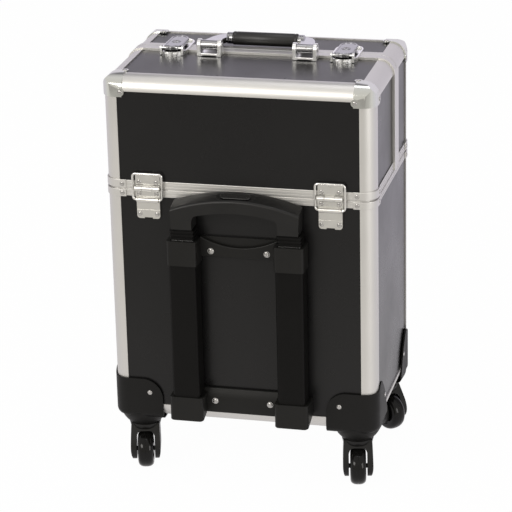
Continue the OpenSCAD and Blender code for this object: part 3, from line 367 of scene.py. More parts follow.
# Rivets. Nickelled dome heads with a narrow flange, on the caps, guards and hinge leaves.
# Each head sits where the frame has one.
def select_faces(piece, wanted):
    """Opens a piece for editing with the faces selected whose middle and normal pass the test."""
    alone(piece)
    bpy.ops.object.mode_set(mode="EDIT")
    bpy.ops.mesh.select_mode(type="FACE")
    bpy.ops.mesh.select_all(action="DESELECT")
    bpy.ops.object.mode_set(mode="OBJECT")
    for face in piece.data.polygons:
        face.select = wanted(face.center, face.normal)
    bpy.ops.object.mode_set(mode="EDIT")


def heads_of(node):
    """The middle of each head's seat, its outward direction, radius and height."""
    lump = taken_from(node, "lump")
    alone(lump)
    bpy.ops.object.mode_set(mode="EDIT")
    bpy.ops.mesh.separate(type="LOOSE")
    bpy.ops.object.mode_set(mode="OBJECT")
    heads = []
    for part in list(bpy.context.selected_objects):
        points = [vertex.co for vertex in part.data.vertices]
        low = Vector([min(p[i] for p in points) for i in range(3)])
        high = Vector([max(p[i] for p in points) for i in range(3)])
        size = high - low
        thin = min(range(3), key=lambda i: size[i])
        out = Vector((0, 0, 0))
        broad_low = max((p - (low + high)/2).length for p in points if p[thin] - low[thin] < 0.05*MM)
        broad_high = max((p - (low + high)/2).length for p in points if high[thin] - p[thin] < 0.05*MM)
        out[thin] = 1 if broad_low > broad_high else -1
        seat = (low + high)/2 - out*size[thin]/2
        heads.append((seat, out, max(size)/2, size[thin]))
        bpy.data.objects.remove(part)
    return heads


def dome(name, seat, out, radius, height):
    """A round head: a low dome on a narrow flange."""
    bpy.ops.object.select_all(action="DESELECT")
    bpy.ops.mesh.primitive_uv_sphere_add(segments=24, ring_count=16, radius=radius*0.86)
    head = bpy.context.object
    head.name = name
    bpy.ops.object.mode_set(mode="EDIT")
    bpy.ops.mesh.select_all(action="SELECT")
    bpy.ops.mesh.bisect(plane_co=(0, 0, 0), plane_no=(0, 0, 1), clear_inner=True, use_fill=False)
    bpy.ops.mesh.select_all(action="SELECT")
    bpy.ops.transform.resize(value=(1, 1, (height*0.7)/(radius*0.86)), center_override=(0, 0, 0))
    bpy.ops.transform.translate(value=(0, 0, height*0.25))
    bpy.ops.mesh.select_mode(type="EDGE")
    bpy.ops.mesh.select_all(action="DESELECT")
    bpy.ops.mesh.select_non_manifold()
    bpy.ops.mesh.extrude_region_move(TRANSFORM_OT_translate={"value": (0, 0, 0)})
    bpy.ops.transform.resize(value=(1/0.86, 1/0.86, 1), center_override=(0, 0, 0))
    bpy.ops.mesh.extrude_region_move(TRANSFORM_OT_translate={"value": (0, 0, -height*0.25)})
    bpy.ops.mesh.edge_face_add()
    bpy.ops.mesh.select_all(action="SELECT")
    bpy.ops.mesh.normals_make_consistent(inside=False)
    bpy.ops.object.mode_set(mode="OBJECT")
    head.matrix_world = Matrix.Translation(seat) @ out.to_track_quat("Z", "Y").to_matrix().to_4x4()
    bpy.ops.object.transform_apply(location=True, rotation=True, scale=True)
    bpy.ops.object.shade_smooth_by_angle(angle=math.radians(40))
    return head


def joined(parts, name):
    bpy.ops.object.select_all(action="DESELECT")
    for part in parts:
        part.select_set(True)
    bpy.context.view_layer.objects.active = parts[0]
    bpy.ops.object.join()
    whole = bpy.context.object
    whole.name = name
    return whole


nickel = finish("nickel_plate", (0.50, 0.49, 0.48), (0.16, 0.28), metal=1.0, grain_size=1500,
                grain_depth=0.04, patch=60, shade=0.06)
for node, body in (("body_rivets", "case"), ("near_lid_rivets", "near_lid"), ("far_lid_rivets", "far_lid")):
    rivets = joined([dome("rivet", *head) for head in heads_of(node)], node + "_domed")
    put_on(rivets, body, "fastener", nickel, node)
dress(nickel, "hinge_pins")

# Hinges. Zinc-plated leaves pressed from sheet, a little narrower than the bail round them, the
# lower one with a line pressed across its foot and the barrel that the bail swings in.
hinge_low, hinge_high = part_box("body_hinge_leaves")
hinge_x = hinge_high.x - 16.5*MM
zinc = finish("zinc_plate", (0.70, 0.69, 0.66), (0.26, 0.38), metal=1.0, grain_size=1800,
              grain_depth=0.10, patch=70, shade=0.06)
for node, body in (("body_hinge_leaves", "case"), ("near_lid_hinge_leaves", "near_lid"),
                   ("far_lid_hinge_leaves", "far_lid")):
    leaf = taken_from(node, node + "_pressed")
    for point in leaf.data.vertices:
        own_middle = math.copysign(hinge_x, point.co.x)
        point.co.x = own_middle + (point.co.x - own_middle)*0.955
    soften(leaf, 0.35*MM, 2)
    if node == "body_hinge_leaves":
        crease = block("crease", (hinge_low.x - 5*MM, seam_low.y - 5*MM, hinge_low.z + 11.2*MM),
                       (hinge_high.x + 5*MM, seam_high.y + 5*MM, hinge_low.z + 12*MM))
        within = block("within", (hinge_low.x - 9*MM, seam_low.y - 1.55*MM, hinge_low.z),
                       (hinge_high.x + 9*MM, seam_high.y + 1.55*MM, hinge_low.z + 20*MM))
        combine(crease, within, "DIFFERENCE")
        combine(leaf, crease, "DIFFERENCE")
    put_on(leaf, body, "hinge_steel", zinc, node)

# Bails. Bright drawn wire bent to a frame round each hinge; they hold the lids when open.
wire = finish("drawn_wire", (0.80, 0.79, 0.77), (0.12, 0.24), metal=1.0, grain_size=2400,
              grain_depth=0.06, patch=80, shade=0.04)
dress(wire, "near_bails", "far_bails")


# Corner guards. Black moulded plastic round each bottom corner, a lobe up either face and a
# rounded lower edge that runs into the caster's bowl; one rivet through each lobe.
def cut_sheet(name, corners, rounds, thickness):
    """A flat plate in the XY plane: its corners, the rounding of each, and its thickness."""
    bpy.ops.object.select_all(action="DESELECT")
    bpy.ops.mesh.primitive_circle_add(vertices=len(corners), fill_type="NGON")
    plate = bpy.context.object
    plate.name = name
    for vertex, corner in zip(plate.data.vertices, corners):
        vertex.co = (*corner, 0)
    for radius in sorted({r for r in rounds if r > 0}):
        meant = [Vector((*c, 0)) for c, r in zip(corners, rounds) if r == radius]
        bpy.ops.object.mode_set(mode="EDIT")
        bpy.ops.mesh.select_mode(type="VERT")
        bpy.ops.mesh.select_all(action="DESELECT")
        bpy.ops.object.mode_set(mode="OBJECT")
        for vertex in plate.data.vertices:
            vertex.select = any((vertex.co - corner).length < 0.01*MM for corner in meant)
        bpy.ops.object.mode_set(mode="EDIT")
        bpy.ops.mesh.bevel(affect="VERTICES", offset=radius, segments=max(4, int(radius/MM)), profile=0.5)
        bpy.ops.object.mode_set(mode="OBJECT")
    bpy.ops.object.mode_set(mode="EDIT")
    bpy.ops.mesh.select_all(action="SELECT")
    bpy.ops.mesh.normals_make_consistent(inside=False)
    bpy.ops.mesh.extrude_region_move(TRANSFORM_OT_translate={"value": (0, 0, thickness)})
    bpy.ops.mesh.select_all(action="SELECT")
    bpy.ops.mesh.normals_make_consistent(inside=False)
    bpy.ops.object.mode_set(mode="OBJECT")
    return plate


def place(piece, matrix):
    """Moves a piece to where it belongs and leaves its object at the origin."""
    alone(piece)
    piece.matrix_world = matrix
    bpy.ops.object.transform_apply(location=True, rotation=True, scale=True)
    return piece


def roll_edges(piece, wanted, offset, segments, profile=0.5):
    """Rounds the edges whose middle and direction pass the test."""
    alone(piece)
    bpy.ops.object.mode_set(mode="EDIT")
    bpy.ops.mesh.select_mode(type="EDGE")
    bpy.ops.mesh.select_all(action="DESELECT")
    bpy.ops.object.mode_set(mode="OBJECT")
    points = piece.data.vertices
    for edge in piece.data.edges:
        a, b = (points[i].co for i in edge.vertices)
        edge.select = bool(wanted((a + b)/2, (b - a).normalized()))
    bpy.ops.object.mode_set(mode="EDIT")
    bpy.ops.mesh.bevel(offset=offset, segments=segments, profile=profile, affect="EDGES", clamp_overlap=True)
    bpy.ops.object.mode_set(mode="OBJECT")


def mirrored(piece, sx, sy, about_y, name):
    """A copy of a piece mirrored across the middle of the case, its faces turned outwards again."""
    alone(piece)
    bpy.ops.object.duplicate()
    twin = bpy.context.object
    twin.name = name
    place(twin, Matrix.Translation((0, about_y*(1 - sy), 0)) @ Matrix.Diagonal((sx, sy, 1, 1)))
    if sx*sy < 0:
        bpy.ops.object.mode_set(mode="EDIT")
        bpy.ops.mesh.select_all(action="SELECT")
        bpy.ops.mesh.flip_normals()
        bpy.ops.object.mode_set(mode="OBJECT")
    return twin


case_low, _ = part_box("body_base_rails")
_, case_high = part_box("near_lid_rails")
near_y = case_low.y
far_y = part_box("body_rim")[1].y
half_width = case_high.x
underside = case_low.z
middle_y = (near_y + far_y)/2
guard_low, guard_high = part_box("corner_guards")
wall = guard_high.x - half_width
reach = 64*MM
front_lobe = 53*MM
side_lobe = 62*MM
rail_leg = 19*MM
bowl_mouth = 9*MM
upright = Matrix(((1, 0, 0, 0), (0, 0, -1, 0), (0, 1, 0, 0), (0, 0, 0, 1)))
sideways = Matrix(((0, 0, 1, 0), (1, 0, 0, 0), (0, 1, 0, 0), (0, 0, 0, 1)))

guard = block("guard", (-wall, -wall, -wall), (80*MM, 80*MM, 80*MM))
roll_edges(guard, lambda m, d: abs(d.z) > 0.9 and m.x < 0 and m.y < 0, 18*MM + wall, 12)
roll_edges(guard, lambda m, d: m.z < -wall*0.9 and abs(d.z) < 0.1 and (m.x < 20*MM or m.y < 20*MM)
           and m.x < 79*MM and m.y < 79*MM, bowl_mouth, 6)
front = place(cut_sheet("front_lobe",
                        [(-5*MM, -5*MM), (reach, -5*MM), (reach, front_lobe), (-5*MM, front_lobe)],
                        [0, 0, 26*MM, 0], rail_leg + 5*MM), Matrix.Translation((0, rail_leg, 0)) @ upright)
side = place(cut_sheet("side_lobe",
                       [(-6*MM, -6*MM), (reach - 2*MM, -6*MM), (reach - 2*MM, 12*MM), (48*MM, 42*MM),
                        (30*MM, side_lobe), (22*MM, side_lobe), (12*MM, front_lobe - 0.3*MM),
                        (-6*MM, front_lobe - 0.3*MM)],
                       [0, 0, 4*MM, 6*MM, 9*MM, 5*MM, 6*MM, 0], rail_leg + 5*MM),
             Matrix.Translation((-6*MM, 0, 0)) @ sideways)
tray = block("tray", (-7*MM, -7*MM, -7*MM), (reach - 1*MM, reach - 3*MM, 1*MM))
roll_edges(tray, lambda m, d: abs(d.z) > 0.9 and m.x > 0 and m.y > 0, 24*MM, 10)
combine(front, side, "UNION")
combine(front, tray, "UNION")
combine(guard, front, "INTERSECT")
inside = block("inside", (0, 0, 0), (reach*2, reach*2, 100*MM))
roll_edges(inside, lambda m, d: abs(d.z) > 0.9 and m.x < 1*MM and m.y < 1*MM, 18*MM, 12)
roll_edges(inside, lambda m, d: m.z < 0.1*MM and abs(d.z) < 0.1 and m.x < reach and m.y < reach,
           bowl_mouth - wall, 6)
combine(guard, inside, "DIFFERENCE")
soften(guard, 0.7*MM, 3, 40)
place(guard, Matrix.Translation((-half_width, near_y, underside)))
moulded = finish("moulded_black", (0.006, 0.0058, 0.0055), (0.42, 0.55), grain_size=1100, grain_depth=0.22,
                 patch=22, Specular_IOR_Level=0.18)
guards = joined([guard] + [mirrored(guard, sx, sy, middle_y, "guard")
                           for sx, sy in ((-1, 1), (1, -1), (-1, -1))], "corner_guards_moulded")
put_on(guards, "case", "guard_plastic", moulded, "corner_guards")


# Caster sockets. The bowls under the guards that hold the swivel stems: the same plastic,
# turned in to the width of the fork's crown.
def turned(name, profile, steps, middle=(0, 0, 0)):
    """A round piece about the vertical through its middle, from a closed profile of radius and height."""
    bpy.ops.object.select_all(action="DESELECT")
    bpy.ops.mesh.primitive_circle_add(vertices=len(profile), fill_type="NOTHING")
    piece = bpy.context.object
    piece.name = name
    for vertex, (radius, height) in zip(piece.data.vertices, profile):
        vertex.co = (radius, 0, height)
    bpy.ops.object.mode_set(mode="EDIT")
    bpy.ops.mesh.select_all(action="SELECT")
    bpy.ops.mesh.spin(steps=steps, angle=2*math.pi, center=(0, 0, 0), axis=(0, 0, 1))
    bpy.ops.mesh.select_all(action="SELECT")
    bpy.ops.mesh.remove_doubles(threshold=0.01*MM)
    bpy.ops.mesh.delete_loose()
    bpy.ops.mesh.select_all(action="SELECT")
    bpy.ops.mesh.normals_make_consistent(inside=False)
    bpy.ops.object.mode_set(mode="OBJECT")
    bpy.ops.object.shade_smooth_by_angle(angle=math.radians(35))
    return place(piece, Matrix.Translation(middle))


swivel_in = 30*MM
socket_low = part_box("caster_sockets")[0].z
socket_bottom = socket_low - underside
bowl_profile = [(5.2*MM, -3*MM), (5.2*MM, socket_bottom), (20.2*MM, socket_bottom),
                (20.9*MM, socket_bottom + 0.4*MM), (22.6*MM, socket_bottom + 2.4*MM),
                (24.6*MM, socket_bottom + 4.6*MM), (26.4*MM, -9*MM), (27.9*MM, -6.4*MM),
                (29.4*MM, -3.6*MM), (30.6*MM, -1.2*MM), (31.4*MM, 1.2*MM), (31.7*MM, 4*MM),
                (29*MM, 4*MM), (29*MM, -1.0*MM)]
bowls = []
for sx in (-1, 1):
    for y in (near_y + swivel_in, far_y - swivel_in):
        bowl = turned("bowl", bowl_profile, 64, (sx*(half_width - swivel_in), y, underside))
        bowls.append(bowl)
sockets = joined(bowls, "caster_sockets_turned")
case_block = block("case_block", (-half_width, near_y, underside), (half_width, far_y, underside + 50*MM))
roll_edges(case_block, lambda m, d: abs(d.z) > 0.9, 18*MM, 12)
roll_edges(case_block, lambda m, d: m.z < underside + 0.1*MM, bowl_mouth - wall, 6)
combine(sockets, case_block, "DIFFERENCE")
bpy.ops.object.shade_smooth_by_angle(angle=math.radians(35))
put_on(sockets, "case", "guard_plastic", moulded, "caster_sockets")

# Forks. One moulding each: a crown that turns on its stem, a hood over the wheel and two
# teardrop prongs, which trail behind the stem and hold the axle.
crown_top = socket_low - 0.5*MM
crown_low = crown_top - 7.5*MM
half_fork = 19.25*MM
prong_wall = 7.5*MM
trail = 15*MM
wheel_radius = 24*MM
axle_radius = 3*MM
fork_black = finish("fork_black", (0.006, 0.0058, 0.0055), (0.26, 0.40), grain_size=1500, grain_depth=0.10,
                    patch=40, Specular_IOR_Level=0.3)
wheel_black = finish("wheel_rubber", (0.0045, 0.0043, 0.0041), (0.08, 0.18), grain_size=2200, grain_depth=0.05,
                     patch=60, Specular_IOR_Level=0.22)
casters = {"near_left": (-1, False, math.radians(14)), "near_right": (1, False, math.radians(12)),
           "far_left": (-1, True, math.radians(310)), "far_right": (1, True, math.radians(50))}
for corner, (sx, far, turn) in casters.items():
    stand = Matrix.Translation((sx*(half_width - swivel_in), far_y - swivel_in if far else near_y + swivel_in, 0))
    stand = stand @ Matrix.Rotation(turn, 4, "Z")
    axle_place = Matrix.Translation((0, -trail, wheel_radius)) @ Matrix.Rotation(math.pi/2, 4, "Y")
    fork = cut_sheet("fork", [(-13*MM, crown_top - 1*MM), (13*MM, crown_top - 1*MM), (trail + 13.2*MM, 33*MM),
                              (trail + 13*MM, 11*MM), (trail - 13*MM, 11*MM), (trail - 13.2*MM, 24*MM)],
                     [0, 0, 8*MM, 12.5*MM, 12.5*MM, 10*MM], 2*half_fork)
    place(fork, Matrix(((0, 0, -1, half_fork), (-1, 0, 0, 0), (0, 1, 0, 0), (0, 0, 0, 1))))
    room = half_fork - prong_wall
    gap = turned("gap", [(0, -room), (20.6*MM, -room), (23.6*MM, -room + 1.4*MM), (25.2*MM, -room + 3.8*MM),
                         (25.6*MM, -room + 7*MM), (25.6*MM, room - 7*MM), (25.2*MM, room - 3.8*MM),
                         (23.6*MM, room - 1.4*MM), (20.6*MM, room), (0, room)], 72)
    cheeks = cut_sheet("cheeks", [(-17.4*MM, 70*MM), (17.4*MM, 70*MM), (half_fork, 36*MM), (half_fork, 22*MM),
                                  (15.6*MM, 8*MM), (-15.6*MM, 8*MM), (-half_fork, 22*MM), (-half_fork, 36*MM)],
                       [0, 0, 12*MM, 6*MM, 0, 0, 6*MM, 12*MM], 90*MM)
    place(cheeks, Matrix.Translation((0, 45*MM, 0)) @ upright)
    combine(fork, cheeks, "INTERSECT")
    combine(fork, place(gap, axle_place), "DIFFERENCE")
    soften(fork, 1.3*MM, 3, 40)
    crown = turned("crown", [(0, crown_top), (19.6*MM, crown_top), (20.2*MM, crown_top - 0.6*MM),
                             (20.3*MM, crown_top - 1.6*MM), (19.7*MM, crown_top - 4*MM),
                             (19.1*MM, crown_low + 1*MM), (18.2*MM, crown_low), (0, crown_low)], 64)
    stem = turned("stem", [(0, crown_top + 10*MM), (5*MM, crown_top + 10*MM), (5*MM, crown_top - 1*MM),
                           (0, crown_top - 1*MM)], 32)
    axle = place(turned("axle", [(0, -13*MM), (0, 13*MM), (axle_radius, 13*MM), (axle_radius, -13*MM)], 24),
                 axle_place)
    fork = joined([fork, crown, stem, axle], corner + "_fork_moulded")
    place(fork, stand)
    put_on(fork, corner + "_fork", "fork_plastic", fork_black, corner + "_fork")

    # Wheels. Black polyurethane, glossy from use, with a parting line round the tread, rounded
    # shoulders and a recessed web round the hub.
    wheel = turned(corner + "_wheel_moulded",
                   [(3.1*MM, -9.6*MM), (3.1*MM, 9.6*MM), (7*MM, 9.6*MM), (7.4*MM, 8.4*MM), (14.4*MM, 8.4*MM),
                    (15*MM, 10*MM), (18.2*MM, 10*MM), (20.6*MM, 9.2*MM), (22.4*MM, 7.4*MM), (23.5*MM, 5*MM),
                    (23.9*MM, 2.4*MM), (24*MM, 0.35*MM), (23.75*MM, 0), (24*MM, -0.35*MM), (23.9*MM, -2.4*MM),
                    (23.5*MM, -5*MM), (22.4*MM, -7.4*MM), (20.6*MM, -9.2*MM), (18.2*MM, -10*MM),
                    (15*MM, -10*MM), (14.4*MM, -8.4*MM), (7.4*MM, -8.4*MM), (7*MM, -9.6*MM)], 72)
    place(wheel, stand @ axle_place)
    put_on(wheel, corner + "_wheel", "wheel_rubber", wheel_black, corner + "_wheel")


# Trolley housings. Two rectangular black tubes, rounded at their edges, which the sliding
# tubes run in; they stand in the foot bracket and end inside the top bracket.
def tube(name, centre, size, wall_t, z0, z1, round_out, closed=False):
    """An upright rectangular tube with rounded edges."""
    w, d = size
    x, y = centre
    shell = block(name, (x - w/2, y - d/2, z0), (x + w/2, y + d/2, z1))
    roll_edges(shell, lambda m, d: abs(d.z) > 0.9, round_out, 5)
    if not closed:
        bore = block("bore", (x - w/2 + wall_t, y - d/2 + wall_t, z0 - 5*MM), (x + w/2 - wall_t, y + d/2 - wall_t, z1 + 5*MM))
        roll_edges(bore, lambda m, d: abs(d.z) > 0.9, max(round_out - wall_t, 0.3*MM), 3)
        combine(shell, bore, "DIFFERENCE")
    return shell


housing_low, housing_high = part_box("trolley_housings")
tube_x = housing_high.x - 17.5*MM
tube_y = (housing_low.y + housing_high.y)/2
trolley_black = finish("trolley_plastic", (0.004, 0.0038, 0.0036), (0.36, 0.50), grain_size=1200,
                       grain_depth=0.14, patch=18, Specular_IOR_Level=0.10)
housings = joined([tube("housing", (s*tube_x, tube_y), (35*MM, 26*MM), 2*MM, housing_low.z, housing_high.z, 4*MM)
                   for s in (-1, 1)], "trolley_housings_drawn")
soften(housings, 0.25*MM, 2, 60)
put_on(housings, "case", "trolley_plastic", trolley_black, "trolley_housings")


# Top bracket. One black moulding: a sleeve round each housing's mouth and a cross plate
# screwed to the rail, its upper edge hollowed so that fingers reach the grip.
def arc(cx, cz, radius, x0, x1, count):
    """Points of an arc over its centre, or under it with a negative radius, from x0 to x1."""
    steps = [x0 + (x1 - x0)*i/(count - 1) for i in range(count)]
    return [(x, cz + math.copysign(math.sqrt(radius**2 - (x - cx)**2), radius)) for x in steps]


sleeve_low, sleeve_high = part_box("trolley_top_bracket")
guide_z = sleeve_high.z
sleeve_front = sleeve_low.y
inner_side = tube_x - 19*MM
plate_low = guide_z - 26*MM
sleeves = [tube("sleeve", (s*tube_x, (sleeve_front + near_y)/2), (38*MM, near_y - sleeve_front), 1.5*MM,
                sleeve_low.z, guide_z, 4.5*MM, closed=True) for s in (-1, 1)]
for sleeve, s in zip(sleeves, (-1, 1)):
    mouth = block("mouth", (s*tube_x - 17.5*MM, tube_y - 13*MM, sleeve_low.z - 2*MM),
                  (s*tube_x + 17.5*MM, tube_y + 13*MM, guide_z - 8*MM))
    roll_edges(mouth, lambda m, d: abs(d.z) > 0.9, 4*MM, 5)
    combine(sleeve, mouth, "DIFFERENCE")
    throat = block("throat", (s*tube_x - 14.4*MM, tube_y - 9.9*MM, guide_z - 12*MM),
                   (s*tube_x + 14.4*MM, tube_y + 9.9*MM, guide_z + 2*MM))
    combine(sleeve, throat, "DIFFERENCE")
hollow_r = 100*MM
hollow_z = guide_z + hollow_r - 12*MM
hollow_x = math.sqrt(hollow_r**2 - (hollow_z - guide_z)**2)
hollow = arc(0, hollow_z, -hollow_r, hollow_x, -hollow_x, 25)
brace = cut_sheet("brace", [(-inner_side - 3*MM, plate_low), (inner_side + 3*MM, plate_low),
                            (inner_side + 3*MM, guide_z)] + hollow + [(-inner_side - 3*MM, guide_z)],
                  [0]*(4 + len(hollow)), 5*MM)
place(brace, Matrix.Translation((0, near_y - 2*MM, 0)) @ upright)
roll_edges(brace, lambda m, d: m.y < near_y - 6.9*MM and abs(d.y) < 0.1 and abs(m.x) < inner_side
           and m.z > plate_low + 1*MM, 2.2*MM, 4)
roll_edges(brace, lambda m, d: m.y < near_y - 6.9*MM and m.z < plate_low + 0.1*MM and abs(d.x) > 0.9, 1.5*MM, 3)
back = block("back", (-inner_side - 3*MM, near_y - 2.4*MM, plate_low + 0.3*MM), (inner_side + 3*MM, near_y + 1.4*MM, guide_z - 0.4*MM))
top_bracket = joined(sleeves + [brace, back], "trolley_top_bracket_moulded")
soften(top_bracket, 0.8*MM, 3, 40)
bracket_black = finish("bracket_plastic", (0.008, 0.0078, 0.0072), (0.36, 0.48), grain_size=1200,
                       grain_depth=0.16, patch=22, Specular_IOR_Level=0.20)
put_on(top_bracket, "case", "trolley_plastic", bracket_black, "trolley_top_bracket")

# Foot bracket. The same moulding at the bottom: a closed boot under each housing, its sole
# rising towards the case, and a cross plate with a bevelled upper edge.
boot_low, boot_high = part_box("trolley_foot_bracket")
boots = []
for s in (-1, 1):
    boot = block("boot", (s*tube_x - 21.5*MM, boot_low.y, boot_low.z), (s*tube_x + 21.5*MM, near_y, boot_low.z + 32*MM))
    alone(boot)
    for corner in boot.data.vertices:
        if corner.co.z < boot_low.z + 1*MM and corner.co.y > near_y - 1*MM:
            corner.co.z += 9*MM
    roll_edges(boot, lambda m, d: abs(d.z) > 0.7 and m.y < near_y - 10*MM, 5*MM, 5)
    roll_edges(boot, lambda m, d: m.z < boot_low.z + 0.5*MM and m.y < boot_low.y + 6*MM and abs(d.z) < 0.5, 2.5*MM, 3)
    well = block("well", (s*tube_x - 17.6*MM, tube_y - 13.1*MM, boot_low.z + 8*MM), (s*tube_x + 17.6*MM, tube_y + 13.1*MM, boot_low.z + 50*MM))
    roll_edges(well, lambda m, d: abs(d.z) > 0.9, 4*MM, 5)
    combine(boot, well, "DIFFERENCE")
    boots.append(boot)
strap_low = boot_low.z + 4.5*MM
strap_top = strap_low + 32*MM
strap = cut_sheet("strap", [(near_y, strap_low), (near_y, strap_top), (near_y - 2.5*MM, strap_top),
                            (near_y - 6*MM, strap_top - 9*MM), (near_y - 7*MM, strap_top - 15*MM),
                            (near_y - 7*MM, strap_low)], [0, 0, 1*MM, 4*MM, 4*MM, 1*MM], 2*inner_side + 4*MM)
place(strap, Matrix.Translation((-inner_side - 2*MM, 0, 0)) @ sideways)
backing = block("backing", (-inner_side - 2*MM, near_y - 1*MM, underside + 21*MM),
                (inner_side + 2*MM, near_y + 1.4*MM, strap_top - 0.5*MM))
foot_bracket = joined(boots + [strap, backing], "trolley_foot_bracket_moulded")
soften(foot_bracket, 0.8*MM, 3, 40)
put_on(foot_bracket, "case", "trolley_plastic", bracket_black, "trolley_foot_bracket")

# Bracket screws. Four pan heads with a cross recess, turned as they happened to seat.
screws = []
for index, (seat, out, radius, height) in enumerate(heads_of("trolley_screws")):
    head = dome("screw", seat, out, radius, height)
    for quarter in (0, 1):
        slot = block("slot", (-2.6*MM, -0.45*MM, -1*MM), (2.6*MM, 0.45*MM, 1*MM))
        place(slot, Matrix.Translation(seat + out*(height + 0.1*MM)) @ out.to_track_quat("Z", "Y").to_matrix().to_4x4()
              @ Matrix.Rotation(math.radians(25 + 40*index + 90*quarter), 4, "Z"))
        combine(head, slot, "DIFFERENCE")
    screws.append(head)
screws = joined(screws, "trolley_screws_turned")
bpy.ops.object.shade_smooth_by_angle(angle=math.radians(40))
put_on(screws, "case", "fastener", nickel, "trolley_screws")

# Sliding tubes. Two stages of anodised aluminium tube; the outer one ends in a black ribbed
# collar that guides the inner one and stops against the sleeve.
mid_low, mid_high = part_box("mid_tubes")
collar_base = guide_z + 0.5*MM
drawn_tube = finish("drawn_tube", (0.56, 0.56, 0.57), (0.24, 0.34), metal=1.0, grain_size=1600,
                    grain_depth=0.08, patch=30, shade=0.03)
mids = joined([tube("mid", (s*tube_x, tube_y), (28*MM, 19*MM), 1.5*MM, mid_low.z, collar_base + 2*MM, 2.5*MM)
               for s in (-1, 1)], "mid_tubes_drawn")
soften(mids, 0.2*MM, 2, 60)
put_on(mids, "trolley_mid", "tube_metal", drawn_tube, "mid_tubes")
collars = []
for s in (-1, 1):
    neck = tube("neck", (s*tube_x, tube_y), (29*MM, 20*MM), 3.6*MM, collar_base, mid_high.z - 0.2*MM, 3*MM)
    rib_count = 3
    pitch = (mid_high.z - collar_base)/rib_count
    ribs = [tube("rib", (s*tube_x, tube_y), (31*MM, 22*MM), 4*MM, collar_base + i*pitch + 0.4*MM,
                 collar_base + (i + 0.62)*pitch + 0.4*MM, 3.5*MM) for i in range(rib_count)]
    collars += [neck] + ribs
collars = joined(collars, "tube_collars")
soften(collars, 0.4*MM, 2, 60)
put_on(collars, "trolley_mid", "trolley_plastic", trolley_black)
inner_low, inner_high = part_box("inner_tubes")
inners = joined([tube("inner", (s*tube_x, tube_y), (21*MM, 12*MM), 1.5*MM, inner_low.z, inner_high.z, 2*MM)
                 for s in (-1, 1)], "inner_tubes_drawn")
soften(inners, 0.2*MM, 2, 60)
put_on(inners, "trolley_inner", "tube_metal", drawn_tube, "inner_tubes")

# Trolley grip. A hollow arch moulded in black, its top sloping to the front and ridged along
# its edge, with a dished oval for the push button; its legs take the inner tubes.
grip_low, grip_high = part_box("trolley_grip")
crown = grip_high.z
leg_low = grip_low.z
half_grip = grip_high.x
rise = 15*MM
bar = 22*MM
arch_r = (half_grip**2 + rise**2)/(2*rise)
arch_z = crown - arch_r
leg_in = half_grip - 27*MM
over = arc(0, arch_z, arch_r, half_grip, -half_grip, 41)
under = arc(0, arch_z, arch_r - bar, -leg_in, leg_in, 25)
outline = ([(-leg_in, leg_low), (-leg_in, under[0][1])] + under[1:-1]
           + [(leg_in, under[-1][1]), (leg_in, leg_low), (half_grip - 1.2*MM, leg_low)] + over
           + [(-half_grip + 1.2*MM, leg_low)])
rounds = [0]*len(outline)
rounds[1] = rounds[len(under)] = 8*MM
grip = cut_sheet("grip", outline, rounds, grip_high.y - grip_low.y)
place(grip, Matrix.Translation((0, grip_high.y, 0)) @ upright)
slope = 6*MM
for point in grip.data.vertices:
    if point.co.y < grip_low.y + 1*MM and point.co.z > arch_z + math.sqrt(max(arch_r**2 - point.co.x**2, 0)) - 1*MM:
        point.co.z -= slope
roll_edges(grip, lambda m, d: m.y < grip_low.y + 0.1*MM and abs(d.y) < 0.1 and m.z > crown - rise - slope - 1*MM
           and m.z > arch_z + math.sqrt(max((arch_r - bar)**2 - m.x**2, 0)) + 8*MM, 3*MM, 4)
roll_edges(grip, lambda m, d: m.y > grip_high.y - 0.1*MM and abs(d.y) < 0.1
           and m.z > arch_z + math.sqrt(max(arch_r**2 - m.x**2, 0)) - 1*MM, 3*MM, 4)
lean = math.atan2(slope, grip_high.y - grip_low.y)
seat_z = crown - slope/2
oval = [(25*MM, -8*MM), (25*MM, 8*MM), (-25*MM, 8*MM), (-25*MM, -8*MM)]
dish = cut_sheet("dish", oval, [7.9*MM]*4, 12*MM)
roll_edges(dish, lambda m, d: m.z < 0.1*MM, 1.2*MM, 3)
place(dish, Matrix.Translation((0, tube_y, seat_z - 1.6*MM)) @ Matrix.Rotation(lean, 4, "X"))
combine(grip, dish, "DIFFERENCE")
pocket = cut_sheet("pocket", [(19.5*MM, -6*MM), (19.5*MM, 6*MM), (-19.5*MM, 6*MM), (-19.5*MM, -6*MM)],
                   [5.9*MM]*4, 30*MM)
place(pocket, Matrix.Translation((0, tube_y, crown - 9.8*MM)))
combine(grip, pocket, "DIFFERENCE")
for s in (-1, 1):
    socket = block("socket", (s*tube_x - 10.6*MM, tube_y - 6.1*MM, leg_low - 2*MM),
                   (s*tube_x + 10.6*MM, tube_y + 6.1*MM, inner_high.z + 0.2*MM))
    combine(grip, socket, "DIFFERENCE")
soften(grip, 1.0*MM, 3, 42)
grip.name = "trolley_grip_moulded"
grip_black = finish("grip_plastic", (0.007, 0.0068, 0.0065), (0.32, 0.46), grain_size=1300, grain_depth=0.12,
                    patch=26, Specular_IOR_Level=0.3)
put_on(grip, "trolley_inner", "grip_plastic", grip_black, "trolley_grip")

